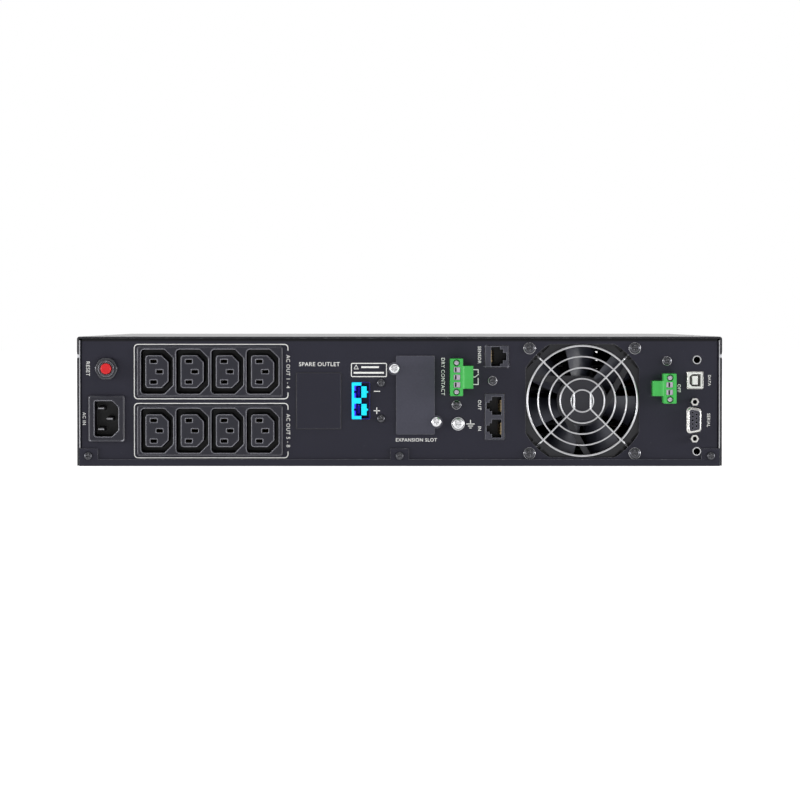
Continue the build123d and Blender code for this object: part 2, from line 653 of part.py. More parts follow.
def terminal_block(centre, poles, turn):
    """Header, plug and plug metal of one block; turn is 1 when the clamp side faces +X, else -1."""
    x, z = centre
    clamp_x = x + turn * (ENTRY_WIDTH + CLAMP_WIDTH) / 2
    nose_x = x + turn * CLAMP_WIDTH / 2
    span = poles * POLE
    length = block_length(poles)
    flange_z = (length - 5.4) / 2
    poles_z = [z + offset for offset in pole_positions(poles)]

    with BuildPart() as header:
        with BuildSketch(rear_plane(HEADER_FRONT)):
            with Locations((nose_x, z)):
                RectangleRounded(15.0, length - 0.4, 0.6)
        extrude(amount=-14.0)
        with BuildSketch(rear_plane(HEADER_FRONT)):
            with Locations((nose_x, z)):
                Rectangle(10.6, span)
        extrude(amount=-NOSE_DEPTH - 0.6, mode=Mode.SUBTRACT)
        with BuildSketch(rear_plane(HEADER_FRONT)):
            with Locations((x, z - flange_z), (x, z + flange_z)):
                Circle(1.5)
            with Locations(*[(nose_x, pole) for pole in poles_z]):
                Rectangle(1.1, 1.1)
        extrude(amount=-14.0, mode=Mode.SUBTRACT)

    with BuildPart() as plug:
        # Wire-entry side with a screw flange at each end.
        with BuildSketch(rear_plane(PLUG_BACK)):
            with Locations((x, z)):
                RectangleRounded(ENTRY_WIDTH, length, 0.5)
        extrude(amount=PLUG_BACK - Y_PLUG)
        # Clamp side, a little lower.
        with BuildSketch(rear_plane(PLUG_BACK)):
            with Locations((clamp_x, z)):
                Rectangle(CLAMP_WIDTH, span)
        extrude(amount=PLUG_BACK - Y_PLUG - 2.0)
        # Sloping step between the two.
        with BuildSketch(Plane.XY.offset(z - span / 2)):
            edge = x + turn * ENTRY_WIDTH / 2
            with BuildLine():
                Polyline(
                    (edge, Y_PLUG + 0.6), (edge + turn * 1.8, Y_PLUG + 2.0), (edge, Y_PLUG + 2.0), close=True
                )
            make_face()
        extrude(amount=span)
        # Nose that enters the header.
        with BuildSketch(rear_plane(PLUG_BACK)):
            with Locations((nose_x, z)):
                Rectangle(10.0, span - 0.6)
        extrude(amount=-NOSE_DEPTH)
        # Wire entries, flange screw wells and contact holes.
        with BuildSketch(rear_plane(Y_PLUG)):
            with Locations(*[(x + turn * 0.3, pole) for pole in poles_z]):
                Rectangle(4.6, 3.8)
        extrude(amount=-8.0, mode=Mode.SUBTRACT)
        with BuildSketch(rear_plane(Y_PLUG)):
            with Locations((x, z - flange_z), (x, z + flange_z)):
                Circle(2.3)
        extrude(amount=-2.0, mode=Mode.SUBTRACT)
        with BuildSketch(rear_plane(Y_PLUG)):
            with Locations((x, z - flange_z), (x, z + flange_z)):
                Circle(1.35)
        extrude(amount=-30.0, mode=Mode.SUBTRACT)
        with BuildSketch(rear_plane(PLUG_BACK + NOSE_DEPTH)):
            with Locations(*[(nose_x, pole) for pole in poles_z]):
                Rectangle(1.8, 1.8)
        extrude(amount=NOSE_DEPTH + 1.0, mode=Mode.SUBTRACT)
        # Clamp screw wells in the side.
        with BuildSketch(Plane.YZ.offset(clamp_x + turn * CLAMP_WIDTH / 2)):
            with Locations(*[(Y_PLUG + 7.5, pole) for pole in poles_z]):
                Circle(1.9)
        extrude(amount=-turn * 4.0, mode=Mode.SUBTRACT)

    flange_screw = screw(1.9, 1.2, 1.15, PLUG_BACK - Y_PLUG + 4.0, slotted=True)
    clamp_screw = screw(1.7, 1.4, 1.0, 1.2, slotted=True)
    with BuildPart() as metal:
        with Locations(rear_plane(Y_PLUG + 1.8)):
            with Locations((x, z - flange_z), (x, z + flange_z)):
                add(flange_screw)
        # Wire cages, set back in the entries.
        with BuildSketch(rear_plane(Y_PLUG + 0.7)):
            with Locations(*[(x + turn * 0.3, pole) for pole in poles_z]):
                Rectangle(4.3, 3.5)
            with Locations(*[(x - 0.55, pole) for pole in poles_z]):
                Rectangle(1.1, 2.9, mode=Mode.SUBTRACT)
        extrude(amount=-6.0)
        sideways = Plane(origin=(clamp_x + turn * 0.9, 0, 0), x_dir=(0, turn, 0), z_dir=(turn, 0, 0))
        with Locations(sideways):
            with Locations(*[(turn * (Y_PLUG + 7.5), pole) for pole in poles_z]):
                add(clamp_screw)
    return header, plug, metal


for block_name, block_centre, block_poles, block_turn in (
    ("relay", RELAY, 3, 1),
    ("epo", EMERGENCY, 2, -1),
):
    header, plug, metal = terminal_block(block_centre, block_poles, block_turn)
    save(header, f"{block_name}_header")
    save(plug, f"{block_name}_plug")
    save(metal, f"{block_name}_plug_metal")

# =====================================================================================
# Signal ports
# =====================================================================================

JACK_FACE = Y_PANEL - 0.8
JACK_DEPTH = 15.0
CAVITY_DEPTH = 12.0
CONTACT_PITCH = 1.02


def jack_cavity(z, height, left_x, right_x, notch_steps):
    """Jack opening in the current sketch: a slot from left_x to right_x and its latch steps."""
    with Locations(((left_x + right_x) / 2, z)):
        Rectangle(right_x - left_x, height)
    for near_x, far_x, height in notch_steps:
        with Locations(((near_x + far_x) / 2, z)):
            Rectangle(abs(far_x - near_x), height)


SENSE_CAVITY = (13.0, 62.2, 68.2, ((68.2, 70.2, 9.8), (70.2, 72.5, 4.9)))
NETWORK_CAVITY = (12.2, 62.8, 69.2, ((61.1, 62.8, 7.2), (59.2, 61.1, 4.2)))
SENSE_WIRES = JACK_FACE + 6.0
NETWORK_WIRES = JACK_FACE + 0.8

with BuildPart() as sense_jack:
    with BuildSketch(rear_plane(JACK_FACE)):
        with Locations(SENSE_JACK):
            RectangleRounded(15.9, 14.5, 0.4)
    extrude(amount=-JACK_DEPTH)
    with BuildSketch(rear_plane(JACK_FACE)):
        jack_cavity(SENSE_JACK[1], *SENSE_CAVITY)
    extrude(amount=-CAVITY_DEPTH, mode=Mode.SUBTRACT)
save(sense_jack, "sense_jack")

with BuildPart() as network_jack:
    with BuildSketch(rear_plane(JACK_FACE)):
        with Locations(NETWORK_JACK):
            RectangleRounded(13.1, 31.0, 0.4)
    extrude(amount=-JACK_DEPTH)
    with BuildSketch(rear_plane(JACK_FACE)):
        for port_z in NETWORK_PORTS:
            jack_cavity(port_z, *NETWORK_CAVITY)
    extrude(amount=-CAVITY_DEPTH, mode=Mode.SUBTRACT)
save(network_jack, "network_jack")


def jack_wire(wall_x, inward, near):
    """Side view of one sprung contact wire, leaning from a jack's wall into its opening."""
    far = JACK_FACE + CAVITY_DEPTH
    start = wall_x + inward * 0.1
    with BuildSketch(Plane.XY) as wire:
        with BuildLine():
            Polyline(
                (start, near), (start + inward * 0.5, near),
                (start + inward * 2.0, near + 3.2), (start + inward * 2.0, far),
                (start + inward * 1.55, far), (start + inward * 1.55, near + 3.4), close=True,
            )
        make_face()
    return wire.sketch


with BuildPart() as signal_contacts:
    # Eight wires in each jack.
    for jack_z, wall_x, inward, near in (
        (SENSE_JACK[1], SENSE_CAVITY[1], 1, SENSE_WIRES),
        (NETWORK_PORTS[0], NETWORK_CAVITY[2], -1, NETWORK_WIRES),
        (NETWORK_PORTS[1], NETWORK_CAVITY[2], -1, NETWORK_WIRES),
    ):
        for number in range(8):
            wire_z = jack_z + (number - 3.5) * CONTACT_PITCH - 0.25
            extrude(Pos(0, 0, wire_z) * jack_wire(wall_x, inward, near), amount=0.5)
    # Pins of the two terminal headers.
    for (pin_x, pin_z), pin_poles, pin_turn in ((RELAY, 3, 1), (EMERGENCY, 2, -1)):
        nose_x = pin_x + pin_turn * CLAMP_WIDTH / 2
        with BuildSketch(rear_plane(HEADER_FRONT + 2.0)):
            with Locations(*[(nose_x, pin_z + offset) for offset in pole_positions(pin_poles)]):
                Rectangle(1.0, 1.0)
        extrude(amount=-16.0)
save(signal_contacts, "signal_contacts")

USB_FACE = Y_PANEL - 1.0
USB_SIZE = (11.0, 11.7)

with BuildPart() as usb_shell:
    with BuildSketch(rear_plane(USB_FACE)):
        with Locations(USB):
            RectangleRounded(*USB_SIZE, 0.6)
            RectangleRounded(USB_SIZE[0] - 0.8, USB_SIZE[1] - 0.8, 0.4, mode=Mode.SUBTRACT)
    extrude(amount=-16.0)
save(usb_shell, "usb_shell")

with BuildPart() as usb_insert:
    with BuildSketch(rear_plane(USB_FACE + 0.2)):
        with Locations(USB):
            RectangleRounded(USB_SIZE[0] - 1.0, USB_SIZE[1] - 1.0, 0.5)
    extrude(amount=-15.0)
    with BuildSketch(rear_plane(USB_FACE)) as usb_mouth:
        with Locations(USB):
            Rectangle(7.7, 8.4)
        chamfer(usb_mouth.vertices().sort_by(Axis.X)[:2], 1.9)
        with Locations(USB):
            Rectangle(3.6, 5.8, mode=Mode.SUBTRACT)
    extrude(amount=-9.5, mode=Mode.SUBTRACT)
save(usb_insert, "usb_insert")


def d_outline(width, height):
    """Outline of a D-shaped connector standing on end: the long side faces left."""
    w, h = width / 2, height / 2
    slant = 0.09 * height
    with BuildSketch(mode=Mode.PRIVATE) as outline:
        with BuildLine():
            Polyline((-w, -h), (w, slant - h), (w, h - slant), (-w, h), close=True)
        make_face()
        fillet(outline.vertices(), width * 0.24)
    return outline.sketch


with BuildPart() as serial_shell:
    with BuildSketch(rear_plane(Y_PANEL)):
        with Locations(SERIAL):
            add(d_outline(9.9, 18.7))
    extrude(amount=0.9)
    with BuildSketch(rear_plane(Y_PANEL)):
        with Locations(SERIAL):
            add(d_outline(8.4, 17.0))
    extrude(amount=6.0)
    fillet(serial_shell.faces().sort_by(Axis.Y)[0].edges(), 0.5)
    with BuildSketch(rear_plane(Y_PANEL - 6.0)):
        with Locations(SERIAL):
            add(d_outline(7.0, 15.4))
    extrude(amount=-6.0, mode=Mode.SUBTRACT)
save(serial_shell, "serial_shell")

with BuildPart() as serial_insert:
    with BuildSketch(rear_plane(Y_PANEL - 5.4)):
        with Locations(SERIAL):
            add(d_outline(6.8, 15.2))
    extrude(amount=-16.0)
    with BuildSketch(rear_plane(Y_PANEL - 5.4)):
        with Locations(SERIAL):
            with Locations((-1.3, 0)):
                with GridLocations(0, 2.6, 1, 5):
                    Circle(0.7)
            with Locations((1.3, 0)):
                with GridLocations(0, 2.6, 1, 4):
                    Circle(0.7)
    extrude(amount=-6.0, mode=Mode.SUBTRACT)
save(serial_insert, "serial_insert")

with BuildPart() as serial_standoffs:
    with BuildSketch(rear_plane(Y_PANEL)):
        with Locations(*SERIAL_SCREWS):
            RegularPolygon(2.45, 6, major_radius=False)
    extrude(amount=4.6)
    with BuildSketch(rear_plane(Y_PANEL)):
        with Locations(*SERIAL_SCREWS):
            Circle(1.5)
    extrude(amount=-7.0)
    with BuildSketch(rear_plane(Y_PANEL - 4.6)):
        with Locations(*SERIAL_SCREWS):
            Circle(1.45)
    extrude(amount=-4.2, mode=Mode.SUBTRACT)
save(serial_standoffs, "serial_standoffs")

with BuildPart() as signal_boards:
    # The board that carries the jacks, and the board of the two ports beside the panel's edge.
    with Locations((57.0, -178.0, 49.0)):
        Box(BOARD_THICK, 58.0, 70.0)
    with Locations((208.8, -175.0, 46.0)):
        Box(BOARD_THICK, 50.0, 68.0)
save(signal_boards, "signal_boards")

# =====================================================================================
# Fan
# =====================================================================================

BASE_RADIUS = 17.0
STRUT_OFFSET = 15.0
STRUTS = (180.0, 60.0, -60.0)

with BuildPart() as fan_frame:
    for flange_y in (Y_FAN, Y_FAN + FAN_DEPTH - 4.0):
        with BuildSketch(rear_plane(flange_y)):
            with Locations(FAN):
                RectangleRounded(FAN_SIZE, FAN_SIZE, 4.0)
        extrude(amount=-4.0)
    with BuildSketch(rear_plane(Y_FAN)):
        with Locations(FAN):
            Circle(39.7)
    extrude(amount=-FAN_DEPTH)
    with BuildSketch(rear_plane(Y_FAN)):
        with Locations(FAN):
            Circle(FAN_BORE)
        with Locations(*FAN_HOLES):
            Circle(2.15)
    extrude(amount=-FAN_DEPTH, mode=Mode.SUBTRACT)
    # Moulded pockets in the corners of the outer flange.
    with BuildSketch(rear_plane(Y_FAN)):
        with Locations(FAN):
            with PolarLocations(43.6, 4, start_angle=45):
                with Locations((0, -7.6), (0, 0), (0, 7.6)):
                    RectangleRounded(3.2, 6.2, 0.7)
    extrude(amount=-3.0, mode=Mode.SUBTRACT)
    # Motor base on three tangential struts.
    with BuildSketch(rear_plane(Y_FAN + 0.5)):
        with Locations(FAN):
            Circle(BASE_RADIUS)
        for angle in STRUTS:
            with Locations(FAN):
                with Locations(Location((0, 0, 0), (0, 0, angle))):
                    with Locations((19.3, -STRUT_OFFSET)):
                        Rectangle(38.6, 4.0)
        with BuildSketch(mode=Mode.PRIVATE) as duct:
            with Locations(FAN):
                Circle(FAN_BORE + 0.5)
        add(duct.sketch, mode=Mode.INTERSECT)
    extrude(amount=-2.6)
    # Bearing tube.
    with BuildSketch(rear_plane(Y_FAN + 0.5)):
        with Locations(FAN):
            Circle(4.0)
    extrude(amount=-18.0)
    with BuildSketch(rear_plane(Y_FAN + 2.0)):
        with Locations(FAN):
            Circle(SHAFT + 0.05)
    extrude(amount=-20.0, mode=Mode.SUBTRACT)
save(fan_frame, "fan_frame")

HUB_FRONT = Y_FAN + 3.8
HUB_BACK = Y_FAN + 23.6
HUB_RADIUS = 16.4
BLADE_TIP = 37.3


def blade_section(radius, chord, pitch, thickness):
    """Cambered blade section at a radius, on a plane square to the blade's own axis."""
    middle = (HUB_FRONT + HUB_BACK) / 2
    with BuildSketch(Plane(origin=(radius, middle, 0), x_dir=(0, 0, 1), z_dir=(1, 0, 0))) as section:
        with BuildLine(Plane.XY):
            lead = Vector(cos(radians(pitch)), sin(radians(pitch))) * chord / 2
            bulge = Vector(-sin(radians(pitch)), cos(radians(pitch)))
            ThreePointArc(-lead, bulge * chord * 0.11, lead)
            ThreePointArc(lead, bulge * (chord * 0.11 - thickness), -lead)
        make_face()
    return section.sketch


with BuildPart() as fan_blade:
    add(blade_section(15.2, 21.0, 52.0, 1.9))
    add(blade_section(39.0, 27.0, 33.0, 1.5))
    loft()
    with BuildSketch(Plane.XZ.offset(-HUB_FRONT)):
        Circle(BLADE_TIP)
    extrude(amount=HUB_FRONT - HUB_BACK, mode=Mode.INTERSECT)

with BuildPart() as fan_rotor:
    with Locations(Location((FAN[0], 0, FAN[1]))):
        for number in range(BLADES):
            with Locations(Location((0, 0, 0), (0, 360.0 / BLADES * number + 12.0, 0))):
                add(fan_blade.part)
    with BuildSketch(rear_plane(HUB_FRONT)):
        with Locations(FAN):
            Circle(HUB_RADIUS)
    extrude(amount=HUB_FRONT - HUB_BACK)
    with BuildSketch(rear_plane(HUB_FRONT)):
        with Locations(FAN):
            Circle(HUB_RADIUS - 1.4)
    extrude(amount=HUB_FRONT - HUB_BACK + 2.0, mode=Mode.SUBTRACT)
    with BuildSketch(rear_plane(HUB_BACK)):
        with Locations(FAN):
            Circle(SHAFT)
    extrude(amount=HUB_BACK - Y_FAN - 3.0)
save(fan_rotor, "fan_rotor")

with BuildPart() as fan_stator:
    with BuildSketch(rear_plane(Y_FAN + 4.5)):
        with Locations(FAN):
            Circle(13.0)
            with PolarLocations(13.0, 4, start_angle=45):
                Rectangle(7.0, 3.0, mode=Mode.SUBTRACT)
            Circle(4.1, mode=Mode.SUBTRACT)
    extrude(amount=-11.0)
save(fan_stator, "fan_stator")

WIRE = 0.6
RING_WIRE = 0.55
RIM_WIRE = 0.7
Y_EYELET = (Y_INSIDE + Y_FAN) / 2
Y_SPOKE = Y_PANEL - 2.3
Y_RING = Y_SPOKE + 1.0
SPOKE_BEND = 5.6


def diagonal(radius, sx, sz):
    """Point on one of the fan's diagonals, at a radius from its axis."""
    return FAN[0] + sx * radius / sqrt(2), FAN[1] + sz * radius / sqrt(2)


def spoke_path(side):
    """Route of one guard wire: from its upper eyelet, past the hub, to its lower eyelet."""
    outer = [(47.4, Y_EYELET), (43.2, Y_EYELET), (40.0, Y_SPOKE)]
    upper = [(diagonal(r, side, 1)[0], y, diagonal(r, side, 1)[1]) for r, y in outer]
    lower = [(x, y, 2 * FAN[1] - z) for x, y, z in reversed(upper)]
    bends = [(FAN[0] + side * SPOKE_BEND, Y_SPOKE, FAN[1] + sz * SPOKE_BEND) for sz in (1, -1)]
    return upper + bends + lower


with BuildPart() as fan_guard:
    with Locations(rear_plane(Y_RING)):
        with Locations(FAN):
            for ring in GUARD_RINGS:
                Torus(ring, RING_WIRE)
            Torus(GUARD_RIM, RIM_WIRE)
    for side in (-1, 1):
        with BuildLine() as spoke:
            FilletPolyline(*spoke_path(side), radius=2.0)
        with BuildSketch(spoke.line ^ 0):
            Circle(WIRE)
        sweep(path=spoke.line)
    with Locations(rear_plane(Y_EYELET)):
        with Locations(*FAN_HOLES):
            Torus(3.1, WIRE)
save(fan_guard, "fan_guard")

# =====================================================================================
# Battery drawer
# =====================================================================================

DRAWER_LENGTH = Y_DRAWER_PLATE - Y_DRAWER_BACK
DRAWER_MIDDLE = (Y_DRAWER_PLATE + Y_DRAWER_BACK) / 2
DRAWER_PLATE = (209.0, 82.6)
DRAWER_WALL = 38.0
DRAWER_WALL_Z = DRAWER_FLOOR + DRAWER_WALL / 2
HANDLE_HALF = 45.0
HANDLE_Z = 44.0

with BuildPart() as battery_tray:
    with Locations((DRAWER_X, DRAWER_MIDDLE, DRAWER_FLOOR + WALL / 2)):
        Box(2 * DRAWER_HALF, DRAWER_LENGTH, WALL)
    for side in (-1, 1):
        with Locations((DRAWER_X + side * (DRAWER_HALF - WALL / 2), DRAWER_MIDDLE, DRAWER_WALL_Z)):
            Box(WALL, DRAWER_LENGTH, DRAWER_WALL)
    with Locations((DRAWER_X, Y_DRAWER_BACK + WALL / 2, DRAWER_WALL_Z)):
        Box(2 * DRAWER_HALF, WALL, DRAWER_WALL)
    with BuildSketch(rear_plane(Y_DRAWER_PLATE)):
        with Locations((DRAWER_X, COVER_WINDOW[1])):
            RectangleRounded(*DRAWER_PLATE, 2.0)
        holes(DRAWER_SCREWS, 1.7)
        holes([(DRAWER_X - HANDLE_HALF, HANDLE_Z), (DRAWER_X + HANDLE_HALF, HANDLE_Z)], 1.7)
    extrude(amount=-SHEET)
save(battery_tray, "battery_tray")

BATTERY_FLOOR = DRAWER_FLOOR + WALL + 0.1
BATTERY_COLUMNS = ((DRAWER_X - 48.0, -1), (DRAWER_X + 48.0, 1))
BATTERY_ROWS = (-42.3, 110.3)
TERMINAL_Z = (14.0, 54.0)


def terminal_points():
    """Every battery terminal, as (x of the case's end, direction it faces, y, z)."""
    for centre_x, facing in BATTERY_COLUMNS:
        for centre_y in BATTERY_ROWS:
            for z in TERMINAL_Z:
                yield centre_x + facing * BATTERY[0] / 2, facing, centre_y + 60.0, BATTERY_FLOOR + z


battery_number = 0
for battery_x, facing in BATTERY_COLUMNS:
    for battery_y in BATTERY_ROWS:
        battery_number += 1
        with BuildPart() as battery:
            with Locations((battery_x, battery_y, BATTERY_FLOOR + BATTERY[2] / 2)):
                Box(*BATTERY)
            fillet(battery.edges().filter_by(Axis.X), 2.0)
            # Terminal posts on the end that faces the drawer's side.
            post_x = battery_x + facing * (BATTERY[0] / 2 + 0.75)
            with Locations(*[(post_x, battery_y + 60.0, BATTERY_FLOOR + z) for z in TERMINAL_Z]):
                Box(1.5, 12.0, 9.0)
        save(battery, f"battery_{battery_number}")

with BuildPart() as battery_links:
    # A faston tab on every post, and a bar between the inner posts of each column.
    for tab_x, facing, tab_y, tab_z in terminal_points():
        with Locations((tab_x + facing * 1.9, tab_y, tab_z)):
            Box(0.8, 7.0, 6.3)
    for link_x, facing in BATTERY_COLUMNS:
        with Locations((link_x + facing * (BATTERY[0] / 2 + 3.1), 94.0, BATTERY_FLOOR + 34.0)):
            Box(1.0, 160.0, 5.0)
        lead_tabs = ((BATTERY_ROWS[0] + 60.0, TERMINAL_Z[1]), (BATTERY_ROWS[1] + 60.0, TERMINAL_Z[0]))
        for tab_y, tab_z in lead_tabs:
            middle = (tab_z + 34.0) / 2
            with Locations((link_x + facing * (BATTERY[0] / 2 + 3.1), tab_y, BATTERY_FLOOR + middle)):
                Box(1.0, 5.0, abs(tab_z - 34.0) + 5.0)
            with Locations((link_x + facing * (BATTERY[0] / 2 + 2.4), tab_y, BATTERY_FLOOR + tab_z)):
                Box(0.6, 5.0, 5.0)
save(battery_links, "battery_links")

HANDLE_BAR = 3.2
HANDLE_REACH = 17.0

with BuildPart() as drawer_handle:
    plate_front = Y_DRAWER_PLATE + SHEET
    with BuildLine() as handle_path:
        FilletPolyline(
            (DRAWER_X - HANDLE_HALF, plate_front, HANDLE_Z),
            (DRAWER_X - HANDLE_HALF, plate_front + HANDLE_REACH, HANDLE_Z),
            (DRAWER_X + HANDLE_HALF, plate_front + HANDLE_REACH, HANDLE_Z),
            (DRAWER_X + HANDLE_HALF, plate_front, HANDLE_Z),
            radius=8.0,
        )
    with BuildSketch(handle_path.line ^ 0):
        Circle(HANDLE_BAR)
    sweep(path=handle_path.line)
save(drawer_handle, "drawer_handle")

drawer_screw = screw(1.9, 1.4, 1.5, 5.0)
front_plane = Plane(origin=(0, Y_DRAWER_PLATE + SHEET, 0), x_dir=(-1, 0, 0), z_dir=(0, 1, 0))

with BuildPart() as drawer_screws:
    with Locations(front_plane):
        with Locations(*[(-x, z) for x, z in DRAWER_SCREWS]):
            add(drawer_screw)
save(drawer_screws, "drawer_screws")

# =====================================================================================
# Front bezel, battery cover, display and buttons
# =====================================================================================

BEZEL_WALL = 2.4
BEZEL_BACK = Y_FRONT + 0.2
LOUVRE_PITCH = 6.6
LOUVRE_HEIGHT = 2.8
LOUVRE_ROWS = 10
DISPLAY_PANEL = (96.0, 68.0)

with BuildPart() as front_bezel:
    with BuildSketch(rear_plane(BEZEL_BACK)) as bezel_outline:
        with Locations((0, BODY_HEIGHT / 2)):
            RectangleRounded(437.0, 87.4, 3.0)
    extrude(amount=BEZEL_BACK - Y_BEZEL)
    fillet(front_bezel.faces().sort_by(Axis.Y)[-1].edges(), 1.6)
    # Hollow behind the face, on the display side.
    with BuildSketch(rear_plane(BEZEL_BACK)):
        with Locations((107.2, BODY_HEIGHT / 2)):
            Rectangle(216.0, 82.4)
    extrude(amount=BEZEL_BACK - Y_BEZEL + BEZEL_WALL, mode=Mode.SUBTRACT)
    # Window for the battery drawer and its cover.
    with BuildSketch(rear_plane(BEZEL_BACK)):
        with Locations((COVER_WINDOW[0], COVER_WINDOW[1])):
            Rectangle(COVER_WINDOW[2], COVER_WINDOW[3])
    extrude(amount=BEZEL_BACK - Y_BEZEL, mode=Mode.SUBTRACT)
    # Intake louvres on both sides of the display.
    with BuildSketch(rear_plane(BEZEL_BACK)):
        for louvre_x, louvre_width in ((28.0, 42.0), (184.0, 48.0)):
            with Locations((louvre_x, BODY_HEIGHT / 2)):
                with GridLocations(0, LOUVRE_PITCH, 1, LOUVRE_ROWS):
                    SlotOverall(louvre_width, LOUVRE_HEIGHT)
    extrude(amount=BEZEL_BACK - Y_BEZEL, mode=Mode.SUBTRACT)
    # Shallow step round the display panel, its window and the button holes.
    with BuildSketch(rear_plane(Y_BEZEL - 1.0)):
        with Locations((DISPLAY[0], BODY_HEIGHT / 2)):
            RectangleRounded(*DISPLAY_PANEL, 4.0)
    extrude(amount=-1.0, mode=Mode.SUBTRACT)
    with BuildSketch(rear_plane(BEZEL_BACK)):
        with Locations(DISPLAY):
            RectangleRounded(LENS[0] + 2 * GAP, LENS[1] + 2 * GAP, 2.0)
        with Locations(*[(x, BUTTON_Z) for x in BUTTONS.values()]):
            RectangleRounded(BUTTON_SIZE[0] + 2 * GAP, BUTTON_SIZE[1] + 2 * GAP, 2.4)
    extrude(amount=BEZEL_BACK - Y_BEZEL, mode=Mode.SUBTRACT)
save(front_bezel, "front_bezel")

COVER_SIZE = (COVER_WINDOW[2] - 1.0, COVER_WINDOW[3] - 1.0)
COVER_BACK = Y_DRAWER_PLATE + SHEET + 3.0

with BuildPart() as battery_cover:
    with BuildSketch(rear_plane(COVER_BACK)):
        with Locations((COVER_WINDOW[0], COVER_WINDOW[1])):
            RectangleRounded(*COVER_SIZE, 2.0)
    extrude(amount=COVER_BACK - Y_BEZEL)
    fillet(battery_cover.faces().sort_by(Axis.Y)[-1].edges(), 1.2)
    with BuildSketch(rear_plane(COVER_BACK)):
        with Locations((COVER_WINDOW[0], COVER_WINDOW[1])):
            Rectangle(COVER_SIZE[0] - 2 * BEZEL_WALL, COVER_SIZE[1] - 2 * BEZEL_WALL)
    extrude(amount=COVER_BACK - Y_BEZEL + BEZEL_WALL, mode=Mode.SUBTRACT)
    with BuildSketch(rear_plane(COVER_BACK)):
        with Locations((COVER_WINDOW[0], BODY_HEIGHT / 2)):
            with GridLocations(48.0, LOUVRE_PITCH, 4, LOUVRE_ROWS):
                SlotOverall(42.0, LOUVRE_HEIGHT)
    extrude(amount=COVER_BACK - Y_BEZEL, mode=Mode.SUBTRACT)
save(battery_cover, "battery_cover")

with BuildPart() as display_lens:
    with BuildSketch(rear_plane(Y_BEZEL - 1.2)):
        with Locations(DISPLAY):
            RectangleRounded(*LENS, 1.8)
    extrude(amount=1.6)
save(display_lens, "display_lens")

with BuildPart() as display_module:
    with Locations((DISPLAY[0], Y_BEZEL - 6.0, DISPLAY[1])):
        Box(LENS[0] - 4, 5.0, LENS[1] - 3)
    with Locations((DISPLAY[0], Y_BEZEL - 9.3, 44.0)):
        Box(90.0, BOARD_THICK, 60.0)
    # Key switches under the buttons.
    with Locations(*[(x, Y_BEZEL - 7.2, BUTTON_Z) for x in BUTTONS.values()]):
        Box(6.0, 2.6, 6.0)
save(display_module, "display_module")

for button_name, button_x in BUTTONS.items():
    with BuildPart() as button:
        with BuildSketch(rear_plane(Y_BEZEL - 4.4)):
            with Locations((button_x, BUTTON_Z)):
                RectangleRounded(*BUTTON_SIZE, 2.1)
        extrude(amount=-4.4)
        fillet(button.faces().sort_by(Axis.Y)[-1].edges(), 0.7)
    save(button, button_name)

# =====================================================================================
# Power electronics
# =====================================================================================

with BuildPart() as main_board:
    with Locations((BOARD[0], BOARD[1], BOARD_Z + BOARD_THICK / 2)):
        Box(BOARD[2], BOARD[3], BOARD_THICK)
    with Locations(*[(x, y, BOARD_Z) for x, y in STANDOFFS]):
        Cylinder(1.6, 4 * BOARD_THICK, mode=Mode.SUBTRACT)
save(main_board, "main_board")

HEATSINK_X = (98.0, 148.0)
HEATSINK = (34.0, 150.0, 58.0)
FIN_COUNT = 7
FIN_PITCH = 8.2

with BuildPart() as heatsinks:
    for sink_x in HEATSINK_X:
        with Locations((sink_x, -60.0, BOARD_TOP + 0.1 + HEATSINK[2] / 2)):
            Box(*HEATSINK)
        for fin in range(FIN_COUNT):
            gap_z = BOARD_TOP + 0.1 + HEATSINK[2] / 2 + (fin - (FIN_COUNT - 1) / 2) * FIN_PITCH
            with Locations((sink_x + 3.0, -60.0, gap_z)):
                Box(30.0, HEATSINK[1] + 1, FIN_PITCH - 2.6, mode=Mode.SUBTRACT)
save(heatsinks, "heatsinks")

CAPACITORS = [(x, y) for x in (28.0, 58.0) for y in (-120.0, -88.0, -56.0)]

with BuildPart() as capacitors:
    with Locations(*[(x, y, BOARD_TOP + 0.1 + 20.0) for x, y in CAPACITORS]):
        Cylinder(12.5, 40.0)
    fillet(capacitors.edges().filter_by(GeomType.CIRCLE).group_by(Axis.Z)[-1], 1.5)
save(capacitors, "capacitors")

with BuildPart() as chokes:
    # Two wound toroids lying flat, and the output transformer's core.
    with Locations((190.0, -80.0, BOARD_TOP + 12.1), (190.0, -20.0, BOARD_TOP + 12.1)):
        Cylinder(20.0, 24.0)
        Cylinder(8.0, 24.0, mode=Mode.SUBTRACT)
    with Locations((60.0, 50.0, BOARD_TOP + 0.1 + 25.0)):
        Box(66.0, 54.0, 50.0)
    with Locations((160.0, 70.0, BOARD_TOP + 0.1 + 20.0)):
        Box(48.0, 48.0, 40.0)
save(chokes, "chokes")
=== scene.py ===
"""Looks of a two-unit rackmount power supply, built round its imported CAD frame. Lengths are in metres.

The rear panel faces -Y. Sections: materials, shapes, printed marks, rear fittings, front and drawer, studio.
"""

import json
from math import cos, pi, radians, sin, tau

import bmesh
import bpy
from mathutils import Matrix, Vector


